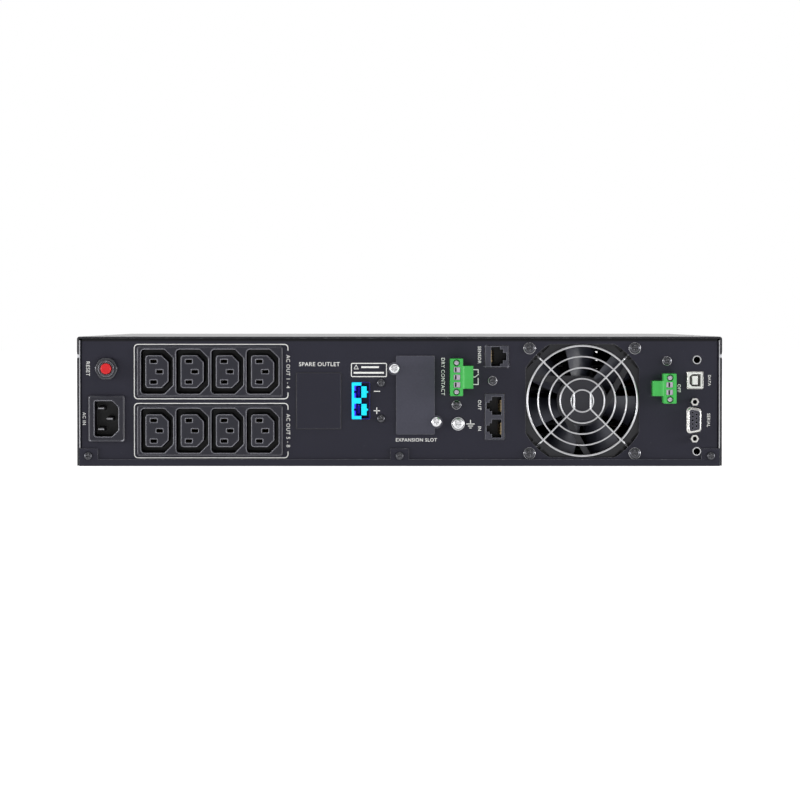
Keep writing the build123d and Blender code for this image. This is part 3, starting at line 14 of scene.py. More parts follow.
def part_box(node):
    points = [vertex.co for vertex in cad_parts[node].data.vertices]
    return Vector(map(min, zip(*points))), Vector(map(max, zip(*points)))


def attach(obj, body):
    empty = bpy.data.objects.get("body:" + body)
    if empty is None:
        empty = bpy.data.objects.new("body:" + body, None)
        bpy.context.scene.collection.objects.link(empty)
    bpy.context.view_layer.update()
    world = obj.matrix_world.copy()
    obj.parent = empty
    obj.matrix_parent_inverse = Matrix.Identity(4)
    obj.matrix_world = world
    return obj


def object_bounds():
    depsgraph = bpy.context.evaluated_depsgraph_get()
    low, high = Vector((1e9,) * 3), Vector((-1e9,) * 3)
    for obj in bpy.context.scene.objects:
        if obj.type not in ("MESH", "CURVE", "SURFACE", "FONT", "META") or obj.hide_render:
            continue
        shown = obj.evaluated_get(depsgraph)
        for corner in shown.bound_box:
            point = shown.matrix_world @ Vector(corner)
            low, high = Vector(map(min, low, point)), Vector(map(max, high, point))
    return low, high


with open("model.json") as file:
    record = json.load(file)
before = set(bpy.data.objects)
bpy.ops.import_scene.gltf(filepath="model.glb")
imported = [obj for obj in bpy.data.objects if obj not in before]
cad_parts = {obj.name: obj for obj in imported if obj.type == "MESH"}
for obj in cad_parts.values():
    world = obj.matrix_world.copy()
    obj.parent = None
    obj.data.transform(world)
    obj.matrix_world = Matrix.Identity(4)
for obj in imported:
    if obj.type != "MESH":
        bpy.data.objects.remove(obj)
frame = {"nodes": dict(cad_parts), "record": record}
cad_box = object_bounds()

MM = 0.001


def middle(node):
    """Centre of a CAD node's box."""
    low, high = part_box(node)
    return (low + high) / 2


# =====================================================================================
# Materials
# =====================================================================================


class Surface:
    """A Principled material, with short ways to add procedural detail to it."""

    def __init__(self, name, color, roughness, metallic=0.0, specular=0.5, **sockets):
        self.material = bpy.data.materials.new(name)
        self.material.use_nodes = True
        self.material.diffuse_color = (*color, 1)
        self.nodes = self.material.node_tree.nodes
        self.links = self.material.node_tree.links
        self.shader = self.nodes["Principled BSDF"]
        self.color = (*color, 1)
        self.roughness = roughness
        self.normal = None
        self.set("Base Color", self.color)
        self.set("Roughness", roughness)
        self.set("Metallic", metallic)
        self.set("Specular IOR Level", specular)
        for socket, value in sockets.items():
            self.set(socket.replace("_", " ").title(), value)
        self.place = self.node("TexCoord").outputs["Object"]

    def set(self, socket, value):
        """Links a socket of the shader, or sets its value."""
        self.feed(self.shader.inputs[socket], value)

    def feed(self, socket, value):
        """Links or sets any input socket."""
        if isinstance(value, bpy.types.NodeSocket):
            self.links.new(value, socket)
        else:
            socket.default_value = value

    def node(self, kind, inputs=(), **settings):
        """A new node; inputs are (socket, value) pairs, settings are its own properties."""
        made = self.nodes.new("ShaderNode" + kind)
        for key, value in settings.items():
            setattr(made, key, value)
        for socket, value in inputs:
            self.feed(made.inputs[socket], value)
        return made

    def math(self, operation, *values):
        """Result of a math node, kept between 0 and 1."""
        made = self.node("Math", enumerate(values), operation=operation, use_clamp=True)
        return made.outputs[0]

    def ramp(self, value, start, end, low=0.0, high=1.0):
        """Value rising smoothly from low at start to high at end."""
        pairs = (("Value", value), ("From Min", start), ("From Max", end), ("To Min", low), ("To Max", high))
        return self.node("MapRange", pairs, interpolation_type="SMOOTHSTEP").outputs["Result"]

    def noise(self, size, detail=2.0, stretch=(1, 1, 1), seed=0.0):
        """Noise from 0 to 1 whose features are about size across, drawn out along an axis by stretch."""
        scale = [1 / (size * s) for s in stretch]
        pairs = (("Vector", self.place), ("Scale", scale), ("Location", (seed, seed, seed)))
        mapped = self.node("Mapping", pairs)
        pairs = (("Vector", mapped.outputs[0]), ("Scale", 1.0), ("Detail", detail))
        return self.node("TexNoise", pairs).outputs["Fac"]

    def cells(self, size, stretch=(1, 1, 1)):
        """Distance to the nearest of scattered points about size apart."""
        scale = [1 / (size * s) for s in stretch]
        mapped = self.node("Mapping", (("Vector", self.place), ("Scale", scale)))
        pairs = (("Vector", mapped.outputs[0]), ("Scale", 1.0))
        return self.node("TexVoronoi", pairs).outputs["Distance"]

    def axis(self, name):
        """One coordinate of the place, X, Y or Z."""
        return self.node("SeparateXYZ", (("Vector", self.place),)).outputs[name]

    def away(self, name, place):
        """Distance from a plane across one axis."""
        offset = self.node("Math", ((0, self.axis(name)), (1, place)), operation="SUBTRACT").outputs[0]
        return self.node("Math", ((0, offset),), operation="ABSOLUTE").outputs[0]

    def edges(self, radius):
        """Mask of the surface within about radius of a sharp edge."""
        rounded = self.node("Bevel", (("Radius", radius),), samples=4).outputs["Normal"]
        flat = self.node("NewGeometry").outputs["Normal"]
        same = self.node("VectorMath", ((0, rounded), (1, flat)), operation="DOT_PRODUCT").outputs["Value"]
        return self.ramp(same, 0.995, 0.90)

    def tint(self, mask, color):
        """Blends the colour towards another where the mask is 1."""
        mixed = self.node("Mix", ((0, mask), (6, self.color), (7, (*color, 1))), data_type="RGBA")
        self.color = mixed.outputs[2]
        self.set("Base Color", self.color)
        return self

    def shade(self, mask, low, high):
        """Multiplies the colour by low where the mask is 0 and by high where it is 1."""
        factor = self.ramp(mask, 0.0, 1.0, low, high)
        grey = self.node("CombineColor", ((0, factor), (1, factor), (2, factor))).outputs[0]
        pairs = ((0, 1.0), (6, self.color), (7, grey))
        mixed = self.node("Mix", pairs, data_type="RGBA", blend_type="MULTIPLY")
        self.color = mixed.outputs[2]
        self.set("Base Color", self.color)
        return self

    def rough(self, mask, target):
        """Blends the roughness towards another value where the mask is 1."""
        mixed = self.node("Mix", ((0, mask), (2, self.roughness), (3, target)), data_type="FLOAT")
        self.roughness = mixed.outputs[0]
        self.set("Roughness", self.roughness)
        return self

    def bump(self, height, distance, strength=1.0):
        """Adds relief of the given depth."""
        pairs = [("Height", height), ("Distance", distance), ("Strength", strength)]
        if self.normal:
            pairs.append(("Normal", self.normal))
        self.normal = self.node("Bump", pairs).outputs["Normal"]
        self.set("Normal", self.normal)
        return self


PANEL_GREY = (0.0158, 0.0155, 0.0260)
BARE_STEEL = (0.80, 0.80, 0.83)
# Colour of the painted shade deep inside recesses.
RECESS_SHADE = (0.0015, 0.0015, 0.004)


def powder_coat(name, color, roughness, grain, specular=0.3, wear_dust_and_highlight=(0.20, 0.20, 0.21)):
    """Baked powder paint: fine orange peel, faint clouding, dust, rubbed chips on the edges, and a painted
    highlight that lightens every sharp edge.
    """
    paint = Surface(name, color, roughness, specular=specular)
    cloud = paint.noise(45 * MM, 3.0)
    speck = paint.noise(0.8 * MM, 3.0, seed=5.0)
    paint.shade(cloud, 0.90, 1.12)
    paint.shade(speck, 0.90, 1.10)
    paint.tint(paint.math("MULTIPLY", paint.ramp(paint.cells(9 * MM), 0.035, 0.01), 0.25), wear_dust_and_highlight)
    chips = paint.ramp(paint.noise(2.2 * MM, 3.0, seed=9.0), 0.50, 0.72)
    edges = paint.edges(0.6 * MM)
    # Painted highlight: every sharp edge is lightened. The chips on the next line are rubbed wear.
    paint.tint(paint.math("MULTIPLY", edges, 0.35), wear_dust_and_highlight)
    paint.tint(paint.math("MULTIPLY", edges, chips, 0.5), wear_dust_and_highlight)
    paint.rough(cloud, roughness + 0.08)
    paint.bump(paint.noise(grain, 1.0), 0.03 * MM, 0.55)
    paint.bump(paint.noise(3.0 * MM, 1.0, seed=2.0), 0.05 * MM, 0.25)
    return paint


def moulded(name, color, roughness, specular=0.35, grain=0.25 * MM, relief=0.5, **sockets):
    """Moulded plastic: spark-eroded texture, flow clouding and a slight sheen on rubbed edges."""
    plastic = Surface(name, color, roughness, specular=specular, **sockets)
    cloud = plastic.noise(12 * MM, 3.0)
    plastic.shade(cloud, 0.90, 1.10)
    plastic.shade(plastic.noise(0.5 * MM, 2.0, seed=3.0), 0.94, 1.06)
    plastic.rough(cloud, roughness + 0.07)
    plastic.rough(plastic.edges(0.3 * MM), roughness * 0.7)
    plastic.bump(plastic.noise(grain, 1.0, seed=1.0), 0.015 * MM, relief)
    return plastic


def plated(name, color, roughness, streak=(1, 1, 1), stain=(0.35, 0.33, 0.28), strength=0.35):
    """Plated metal: drawn-out polishing marks, dull clouds and small stains."""
    metal = Surface(name, color, roughness, metallic=1.0)
    cloud = metal.noise(6 * MM, 4.0)
    brushed = metal.noise(0.12 * MM, 2.0, stretch=streak)
    metal.shade(cloud, 0.88, 1.06)
    stains = metal.ramp(metal.noise(2 * MM, 4.0, seed=7.0), 0.58, 0.75)
    metal.tint(metal.math("MULTIPLY", stains, strength), stain)
    metal.rough(cloud, roughness + 0.12)
    metal.rough(metal.math("MULTIPLY", brushed, 0.5), roughness + 0.15)
    metal.bump(brushed, 0.01 * MM, 0.4)
    return metal


def paint_recess_shade(plastic, face, floor, dark=RECESS_SHADE):
    """Paints shade on everything that lies deeper than the front face."""
    return plastic.tint(plastic.ramp(plastic.axis("Y"), face + 0.6 * MM, face + floor), dark)


def socket_plastic():
    """Satin socket plastic, with a painted highlight lightening its edges and painted shade in its recesses."""
    plastic = moulded("socket_grey", (0.0120, 0.0120, 0.0195), 0.34, specular=0.4)
    # Painted highlight: the edges are lightened as if they caught the light.
    plastic.tint(plastic.edges(1.1 * MM), (0.34, 0.34, 0.38))
    return paint_recess_shade(plastic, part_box("inlet_housing")[0].y, 3.0 * MM)


def jack_plastic():
    """Dull jack plastic, with a painted highlight lightening its edges and painted shade inside its openings."""
    plastic = moulded("jack_grey", (0.036, 0.036, 0.050), 0.40, specular=0.4)
    # Painted highlight: the edges are lightened as if they caught the light.
    plastic.tint(plastic.edges(0.7 * MM), (0.16, 0.16, 0.19))
    return paint_recess_shade(plastic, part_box("network_jack")[0].y, 2.0 * MM)


def cut_edges(paint, bare=BARE_STEEL):
    """Leaves bare bright steel on the rear edges of the tray's uprights and on its locating tabs."""
    low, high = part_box("base_tray")
    side = paint.away("X", 0.0)
    outside = paint.ramp(side, high.x - 1.95 * MM, high.x - 1.90 * MM)
    behind = paint.ramp(paint.axis("Y"), low.y + 0.75 * MM, low.y + 0.70 * MM)
    above = paint.ramp(paint.axis("Z"), 12.1 * MM, 12.3 * MM)
    mask = paint.math("MULTIPLY", paint.math("MULTIPLY", outside, behind), above)
    paint.tint(mask, bare)
    paint.rough(mask, 0.38)
    paint.set("Metallic", mask)
    return paint


# Painted shade colours of the blue connector: navy on its rim and deep in the tongue half, indigo in its pockets.
SHADE_NAVY = (0.004, 0.004, 0.075)
POCKET_SHADE_INDIGO = (0.03, 0.01, 0.95)


def deep_blue():
    """Blue connector shell: cyan faces, with painted shade in indigo in the pockets and below the face, and in
    navy on the rim round the tongue half and deep inside that half.
    """
    plastic = moulded("connector_blue", (0.0, 0.76, 1.0), 0.35, specular=0.4)
    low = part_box("battery_connector")[0]
    at = middle("connector_contacts")
    depth, across = plastic.axis("Y"), plastic.axis("X")
    up = plastic.away("Z", at.z)
    half = at.x + 1.8 * MM  # where the pocket half meets the tongue half
    tongue_half = plastic.ramp(across, half, half + 0.2 * MM)
    ends = plastic.math("MULTIPLY", plastic.ramp(up, 10.3 * MM, 10.5 * MM), tongue_half)
    right = plastic.ramp(across, half + 4.65 * MM, half + 4.75 * MM)
    # Painted shade: the rim round the tongue half is navy.
    plastic.tint(plastic.math("MAXIMUM", ends, right), SHADE_NAVY)
    left = plastic.math("MULTIPLY", plastic.ramp(across, low.x + 2.6 * MM, low.x + 2.7 * MM),
                        plastic.ramp(across, half, half - 0.1 * MM))
    rows = plastic.math("MULTIPLY", plastic.ramp(up, 1.9 * MM, 2.0 * MM),
                        plastic.ramp(up, 10.4 * MM, 10.3 * MM))
    # Painted shade: the pockets of the other half are indigo.
    plastic.tint(plastic.math("MULTIPLY", left, rows), POCKET_SHADE_INDIGO)
    # Painted shade: indigo deeper than the front face.
    plastic.tint(plastic.ramp(depth, low.y + 0.3 * MM, low.y + 1.5 * MM), POCKET_SHADE_INDIGO)
    # Painted shade: navy deep inside the tongue half.
    behind = plastic.math("MULTIPLY", tongue_half, plastic.ramp(depth, low.y + 3.0 * MM, low.y + 6.0 * MM))
    return plastic.tint(behind, SHADE_NAVY)


def circuit_board():
    """Green solder resist over copper tracks, with tinned pads."""
    board = Surface("board_green", (0.012, 0.10, 0.04), 0.35, specular=0.5)
    tracks = board.ramp(board.cells(4 * MM, stretch=(1, 3, 1)), 0.46, 0.50)
    board.tint(tracks, (0.03, 0.20, 0.07))
    board.tint(board.ramp(board.cells(5 * MM), 0.13, 0.11), (0.55, 0.55, 0.5))
    board.bump(tracks, 0.04 * MM, 0.5)
    return board


def copper_windings():
    """Lacquered copper wire wound side by side."""
    copper = Surface("copper_windings", (0.42, 0.16, 0.06), 0.32, metallic=0.7)
    turns = copper.node(
        "TexWave", (("Vector", copper.place), ("Scale", 1 / (3.2 * MM)), ("Distortion", 1.5)),
        bands_direction="DIAGONAL",
    ).outputs["Fac"]
    # Painted shade: the grooves between the turns are darkened.
    copper.shade(turns, 0.35, 1.1)
    copper.bump(turns, 0.4 * MM, 0.9)
    return copper


def extruded_aluminium():
    """Extruded aluminium with fine lines along its length."""
    metal = Surface("extruded_aluminium", (0.62, 0.63, 0.65), 0.35, metallic=1.0)
    lines = metal.noise(0.15 * MM, 2.0, stretch=(1, 60, 1))
    metal.shade(lines, 0.85, 1.08)
    metal.rough(lines, 0.5)
    metal.bump(lines, 0.02 * MM, 0.5)
    return metal


def fan_plastic(name, color):
    """Glass-filled black plastic with a satin skin."""
    plastic = moulded(name, color, 0.33, specular=0.6, grain=0.5 * MM, relief=0.35)
    swirl = plastic.noise(2.5 * MM, 3.0, stretch=(1, 6, 1), seed=4.0)
    return plastic.rough(swirl, 0.42)


def black_oxide(name, rim):
    """Blackened steel, lighter along its sharp edges: partly rubbed wear, partly a painted highlight."""
    metal = plated(name, (0.085, 0.085, 0.095), 0.24, stain=(0.05, 0.05, 0.05))
    # Edge tint: rubbed wear together with a painted highlight.
    return metal.tint(metal.edges(0.4 * MM), rim)


def standoff_nickel(spacing=12.5 * MM, bore=1.45 * MM):
    """Nickel plate, with painted shade inside the threaded bores above and below the serial port."""
    metal = plated("standoff_nickel", (0.80, 0.79, 0.77), 0.22, strength=0.15)
    at = middle("serial_standoffs")
    up = metal.node("Math", ((0, metal.away("Z", at.z)), (1, spacing)), operation="SUBTRACT").outputs[0]
    across = metal.node("Math", ((0, metal.axis("X")), (1, at.x)), operation="SUBTRACT").outputs[0]
    offset = metal.node("CombineXYZ", (("X", across), ("Z", up))).outputs[0]
    reach = metal.node("VectorMath", ((0, offset),), operation="LENGTH").outputs["Value"]
    # Painted shade: near black inside each bore.
    return metal.tint(metal.ramp(reach, bore + 0.08 * MM, bore + 0.03 * MM), (0.004, 0.004, 0.005))


SURFACES = {
    "cover_paint": powder_coat("cover_black", (0.005, 0.005, 0.009), 0.28, 0.45 * MM, specular=0.5),
    "panel_paint": powder_coat("panel_grey", PANEL_GREY, 0.46, 0.40 * MM, specular=0.25),
    "slot_paint": powder_coat("slot_grey", (0.046, 0.046, 0.064), 0.42, 0.40 * MM, specular=0.3),
    "zinc_plate": plated("zinc_sheet", (0.60, 0.62, 0.66), 0.38, streak=(1, 40, 1)),
    "zinc_steel": plated("bright_zinc", (0.80, 0.80, 0.82), 0.22),
    "black_screw": black_oxide("black_oxide", (0.20, 0.20, 0.21)),
    "nickel_plate": plated("nickel", (0.80, 0.79, 0.77), 0.18, strength=0.15),
    "guard_wire": plated("guard_nickel", (0.62, 0.62, 0.64), 0.30, strength=0.12),
    "copper_alloy": plated("tinned_contacts", (0.83, 0.62, 0.32), 0.25),
    "bare_aluminium": extruded_aluminium(),
    "winding": copper_windings(),
    "bezel_plastic": moulded("bezel_black", (0.014, 0.014, 0.018), 0.45, grain=0.4 * MM, relief=0.8),
    "button_plastic": moulded("button_grey", (0.11, 0.11, 0.125), 0.35, specular=0.5),
    "display_window": moulded("smoked_window", (0.01, 0.012, 0.014), 0.06, specular=0.6, relief=0.02, alpha=0.72),
    "battery_case": moulded("battery_grey", (0.035, 0.036, 0.04), 0.5, specular=0.4, grain=0.6 * MM, relief=0.8),
    "socket_plastic": socket_plastic(),
    "jack_plastic": jack_plastic(),
    "fan_plastic": fan_plastic("fan_black", (0.006, 0.006, 0.010)),
    "red_plastic": moulded("breaker_red", (0.56, 0.010, 0.014), 0.30, specular=0.4),
    "green_plastic": moulded("terminal_green", (0.052, 0.40, 0.078), 0.40, specular=0.3),
    "blue_plastic": deep_blue(),
    "white_plastic": moulded("port_white", (0.72, 0.72, 0.70), 0.40, specular=0.3),
    "circuit_board": circuit_board(),
    "capacitor_sleeve": moulded("capacitor_sleeve", (0.02, 0.03, 0.09), 0.28, specular=0.5),
}

INK = moulded("printed_white", (0.78, 0.78, 0.76), 0.55, specular=0.2)
LABEL = moulded("grey_label", (0.030, 0.030, 0.038), 0.45, specular=0.4)
BAND = moulded("orange_band", (0.75, 0.20, 0.03), 0.5, specular=0.3)
LENS = moulded("clear_lens", (0.55, 0.60, 0.55), 0.12, specular=0.5, relief=0.05)
TRAY_PAINT = cut_edges(powder_coat("tray_grey", PANEL_GREY, 0.46, 0.40 * MM, specular=0.25))

def painted_shade_under_cover(paint):
    """Paints shade on the strip of the rear panel that rolls back under the cover's edge."""
    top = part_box("rear_panel")[1].z
    return paint.tint(paint.ramp(paint.axis("Z"), top - 2.2 * MM, top - 1.2 * MM), (0.003, 0.003, 0.005))


REAR_PAINT = painted_shade_under_cover(powder_coat("rear_grey", PANEL_GREY, 0.46, 0.40 * MM, specular=0.25))
FOAM = moulded("filter_foam", (0.010, 0.010, 0.011), 0.95, specular=0.05, grain=0.9 * MM, relief=1.0)
RING_STEEL = plated("ring_steel", (0.50, 0.50, 0.52), 0.16)
TERMINAL_STEEL = plated("terminal_steel", (0.64, 0.57, 0.68), 0.34)
OWN_SURFACES = {
    "base_tray": TRAY_PAINT,
    "rear_panel": REAR_PAINT,
    # The nut's edge tint is near white: a painted highlight as well as rubbed wear.
    "breaker_nut": black_oxide("nut_oxide", (0.60, 0.60, 0.62)),
    # Painted light: the blades are a lighter copy of the black fan plastic, as if they caught more light.
    "fan_rotor": fan_plastic("blade_grey_painted_light", (0.040, 0.042, 0.058)),
    "display_module": moulded("display_glass", (0.045, 0.065, 0.055), 0.20, specular=0.5, relief=0.1),
    # Painted shade: the heatsinks are darkened as if in the shade inside the case.
    "heatsinks": plated("aluminium_painted_shade", (0.16, 0.16, 0.17), 0.60),
    "front_frame": powder_coat("frame_grey", PANEL_GREY, 0.60, 0.40 * MM, specular=0.2),
    "serial_standoffs": standoff_nickel(),
    # Painted shade: the inlet's pins and the outlets' contacts are darkened copies of plated metal, as if in the
    # shade of their recesses.
    "inlet_pins": plated("shaded_pins", (0.34, 0.34, 0.36), 0.35),
    "outlet_contacts": plated("shaded_contacts", (0.06, 0.05, 0.035), 0.55),
    # Painted reflection and shade: the silver contacts are tinted dark blue as if reflecting the blue pocket
    # walls.
    "connector_contacts": plated("contacts_painted_blue_reflection", (0.05, 0.03, 0.45), 0.55),
    "relay_plug_metal": TERMINAL_STEEL,
    "epo_plug_metal": TERMINAL_STEEL,
}

# Width in millimetres of the rounding on each node's sharp edges; the rest keep their CAD edges.
ROUNDING = {
    "base_tray": 0.2, "top_cover": 0.35, "rear_panel": 0.2, "blanking_plate": 0.2, "slot_cover": 0.35,
    "rack_ear_left": 0.4, "rack_ear_right": 0.4, "front_bezel": 0.5, "battery_cover": 0.5,
    "outlet_block_upper": 0.4, "outlet_block_lower": 0.4, "inlet_housing": 0.4, "inlet_pins": 0.15,
    "breaker_nut": 0.4, "breaker_body": 0.3, "battery_connector": 0.2, "relay_plug": 0.3, "epo_plug": 0.3,
    "relay_header": 0.2, "epo_header": 0.2, "sense_jack": 0.4, "network_jack": 0.4, "usb_shell": 0.1,
    "usb_insert": 0.15, "serial_shell": 0.12, "serial_standoffs": 0.3, "fan_frame": 0.4, "fan_rotor": 0.3,
    "on_button": 0.3, "off_button": 0.3, "select_button": 0.3, "battery_tray": 0.2, "front_frame": 0.2,
    "battery_1": 0.8, "battery_2": 0.8, "battery_3": 0.8, "battery_4": 0.8, "zinc_screws": 0.25,
    "rear_screws": 0.25, "side_screws": 0.2, "drawer_screws": 0.2, "heatsinks": 0.15, "capacitors": 0.3,
}


def angle_smoothing():
    """Geometry nodes that shade smoothly, apart from edges sharper than 40 degrees."""
    group = bpy.data.node_groups.new("smooth_by_angle", "GeometryNodeTree")
    group.interface.new_socket("Geometry", in_out="INPUT", socket_type="NodeSocketGeometry")
    group.interface.new_socket("Geometry", in_out="OUTPUT", socket_type="NodeSocketGeometry")
    start = group.nodes.new("NodeGroupInput")
    end = group.nodes.new("NodeGroupOutput")
    angle = group.nodes.new("GeometryNodeInputMeshEdgeAngle")
    sharp = group.nodes.new("FunctionNodeCompare")
    sharp.operation = "LESS_EQUAL"
    sharp.inputs[1].default_value = radians(40)
    faces = group.nodes.new("GeometryNodeSetShadeSmooth")
    edges = group.nodes.new("GeometryNodeSetShadeSmooth")
    edges.domain = "EDGE"
    group.links.new(start.outputs[0], faces.inputs["Geometry"])
    group.links.new(faces.outputs[0], edges.inputs["Geometry"])
    group.links.new(angle.outputs["Unsigned Angle"], sharp.inputs[0])
    group.links.new(sharp.outputs[0], edges.inputs["Shade Smooth"])
    group.links.new(edges.outputs[0], end.inputs[0])
    return group


SMOOTHING = angle_smoothing()


# Nodes whose outlines are made of fine arcs, where the rounding may be wider than the shortest edge.
ARCS = ("outlet_block_upper", "outlet_block_lower", "inlet_housing", "breaker_nut", "sense_jack", "network_jack")


# Nodes whose pocket floors have holes, so their flat faces stay in triangles.
POCKETED = ("inlet_housing", "sense_jack", "network_jack")


def soften(thing, width):
    """Joins flat faces, rounds sharp edges to the given width, and shades curved faces smoothly."""
    weld = thing.modifiers.new("weld", "WELD")
    weld.merge_threshold = 0.001 * MM
    if thing.name not in POCKETED:
        flats = thing.modifiers.new("flats", "DECIMATE")
        flats.decimate_type = "DISSOLVE"
        flats.angle_limit = radians(0.5)
    if width:
        bevel = thing.modifiers.new("round", "BEVEL")
        bevel.width = width
        bevel.segments = 3
        bevel.limit_method = "ANGLE"
        bevel.angle_limit = radians(40)
        bevel.use_clamp_overlap = thing.name not in ARCS
    smooth = thing.modifiers.new("smooth", "NODES")
    smooth.node_group = SMOOTHING
    normals = thing.modifiers.new("normals", "WEIGHTED_NORMAL")
    normals.keep_sharp = True


def dress(node, surface):
    """Gives a CAD node its material, smooth curved faces and softly rounded edges."""
    thing = frame["nodes"][node]
    thing.data.materials.clear()
    thing.data.materials.append(surface.material)
    soften(thing, ROUNDING.get(node, 0) * MM)


for entry in frame["record"]["subparts"]:
    dress(entry["node"], OWN_SURFACES.get(entry["node"], SURFACES[entry["material_slot"]]))

# =====================================================================================
# Shapes
# =====================================================================================

BUSH = 0.5 * MM  # the spare holes' bushes stand this far proud of the rear panel
PANEL_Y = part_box("rear_panel")[0].y + BUSH
INK_FRONT = PANEL_Y - 0.03 * MM
INK_BACK = PANEL_Y + 0.05 * MM


def rounded_rectangle(x, z, width, height, radius, steps=5):
    """Corner points (x, z) of a rounded rectangle, anticlockwise."""
    points = []
    for corner, (sx, sz) in enumerate(((1, 1), (-1, 1), (-1, -1), (1, -1))):
        cx, cz = x + sx * (width / 2 - radius), z + sz * (height / 2 - radius)
        for step in range(steps + 1):
            angle = (corner + step / steps) * pi / 2
            points.append((cx + radius * cos(angle), cz + radius * sin(angle)))
    return points


def circle(x, z, radius, steps=48):
    """Points (x, z) round a circle."""
    return [(x + radius * cos(tau * i / steps), z + radius * sin(tau * i / steps)) for i in range(steps)]


def upright(across, up, depth):
    """Point of an outline that stands parallel to the rear panel."""
    return across, depth, up


def level(across, along, height):
    """Point of an outline that lies flat."""
    return across, along, height


def add_plate(mesh, outline, front, back, lay=upright):
    """Solid plate with the given outline, between two depths or heights."""
    near = [mesh.verts.new(lay(*point, front)) for point in outline]
    far = [mesh.verts.new(lay(*point, back)) for point in outline]
    mesh.faces.new(near)
    mesh.faces.new(list(reversed(far)))
    for i in range(len(outline)):
        j = (i + 1) % len(outline)
        mesh.faces.new((near[j], near[i], far[i], far[j]))


def add_band(mesh, outer, inner, front, back):
    """Solid band between two outlines of the same number of points, between two depths."""
    loops = [[mesh.verts.new((x, y, z)) for x, z in line] for line, y in
             ((outer, front), (inner, front), (inner, back), (outer, back))]
    for i in range(len(outer)):
        j = (i + 1) % len(outer)
        for a, b in zip(loops, loops[1:] + loops[:1]):
            mesh.faces.new((a[i], a[j], b[j], b[i]))


def add_ribbon(mesh, points, width, front, back):
    """Solid ribbon of the given width along points (x, z), with mitred corners, between two depths."""
    places = [Vector(point) for point in points]
    rings = []
    for i, here in enumerate(places):
        steps = [b - a for a, b in zip(places[max(i - 1, 0):i + 1], places[i:i + 2]) if b != a]
        if i in (0, len(places) - 1):
            steps = [places[1] - places[0]] if i == 0 else [places[-1] - places[-2]]
        along = sum((step.normalized() for step in steps), Vector((0, 0))).normalized()
        reach = width / 2 / max(0.4, along.dot(steps[0].normalized()))
        side = Vector((-along.y, along.x)) * reach
        corners = ((here + side, front), (here - side, front), (here - side, back), (here + side, back))
        rings.append([mesh.verts.new((at.x, y, at.y)) for at, y in corners])
    for a, b in zip(rings, rings[1:]):
        for k in range(4):
            mesh.faces.new((a[k - 1], a[k], b[k], b[k - 1]))
    mesh.faces.new(rings[0])
    mesh.faces.new(rings[-1])


def add_words(mesh, words, x, z, size, turned=False, front=INK_FRONT, back=INK_BACK):
    """Printed words centred at x, z on the rear panel; turned words read downwards."""
    text = bpy.data.curves.new("words", "FONT")
    text.body = words
    text.size = size
    text.align_x = "CENTER"
    text.align_y = "CENTER"
    text.resolution_u = 3
    text.space_character = 1.08
    text.offset = size * 0.003
    text.extrude = abs(back - front) / 2
    holder = bpy.data.objects.new("words", text)
    printed = bpy.data.meshes.new_from_object(holder)
    turn = Matrix.Rotation(-pi / 2 if turned else 0, 4, "Z")
    stand = Matrix.Rotation(pi / 2, 4, "X")
    printed.transform(Matrix.Translation((x, (front + back) / 2, z)) @ stand @ turn)
    mesh.from_mesh(printed)
    bpy.data.objects.remove(holder)
    bpy.data.meshes.remove(printed)


def finish_piece(name, mesh, surface, body="chassis", smooth=False):
    """Turns a bmesh into a named piece that rides on a body."""
    bmesh.ops.recalc_face_normals(mesh, faces=mesh.faces)
    data = bpy.data.meshes.new(name)
    mesh.to_mesh(data)
    mesh.free()
    data.materials.append(surface.material)
    for face in data.polygons:
        face.use_smooth = smooth
    thing = bpy.data.objects.new(name, data)
    bpy.context.scene.collection.objects.link(thing)
    if smooth:
        data.set_sharp_from_angle(angle=pi / 5)
    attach(thing, body)
    return thing


# =====================================================================================
# Printed marks on the rear panel
# =====================================================================================

BATTERY_HEIGHT = 65 * MM
LETTER = 3.1 * MM  # type size of the rear panel's words
LINE = 0.6 * MM
FRAME_GAP = 14.2 * MM  # half the gap that an outlet frame leaves for its words


def outlet_frames():
    """White printed frame round each outlet block, broken on the right by its words."""
    mesh = bmesh.new()
    for node, words in (("outlet_block_upper", "AC OUT 1 - 4"), ("outlet_block_lower", "AC OUT 5 - 8")):
        low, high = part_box(node)
        x, z = (low.x + high.x) / 2 + 0.8 * MM, (low.z + high.z) / 2
        width, height = high.x - low.x + 5.2 * MM, high.z - low.z + 2.5 * MM
        right = x + width / 2
        path = rounded_rectangle(x, z, width, height, 2.4 * MM)
        add_ribbon(mesh, [(right, z + FRAME_GAP), *path, (right, z - FRAME_GAP)], LINE, INK_FRONT, INK_BACK)
        add_words(mesh, words, right, z, LETTER * 1.15, turned=True)
    finish_piece("outlet_frames", mesh, INK)


# Words beside a node: words, node, then right and up from its centre in millimetres, size, turned.
WORDS = (
    ("RESET", "breaker_nut", -12.8, 0.0, 1.15, True),
    ("AC IN", "inlet_housing", -15.4, 0.0, 1.0, True),
    ("SPARE OUTLET", "blanking_plate", 0.5, 24.8, 1.25, False),
    ("EXPANSION SLOT", "slot_cover", 0.6, -30.6, 1.05, False),
    ("DRY CONTACT", "relay_plug", -12.6, 0.4, 1.1, True),
    ("SENSOR", "sense_jack", -11.9, 1.2, 1.0, True),
    ("OUT", "network_jack", -10.4, 8.0, 1.0, True),
    ("IN", "network_jack", -10.4, -8.0, 1.0, True),
    ("OFF", "epo_plug", 10.6, 0.0, 1.0, True),
    ("DATA", "usb_shell", 9.7, 0.0, 0.85, True),
    ("SERIAL", "serial_shell", 9.9, 0.0, 0.95, True),
)


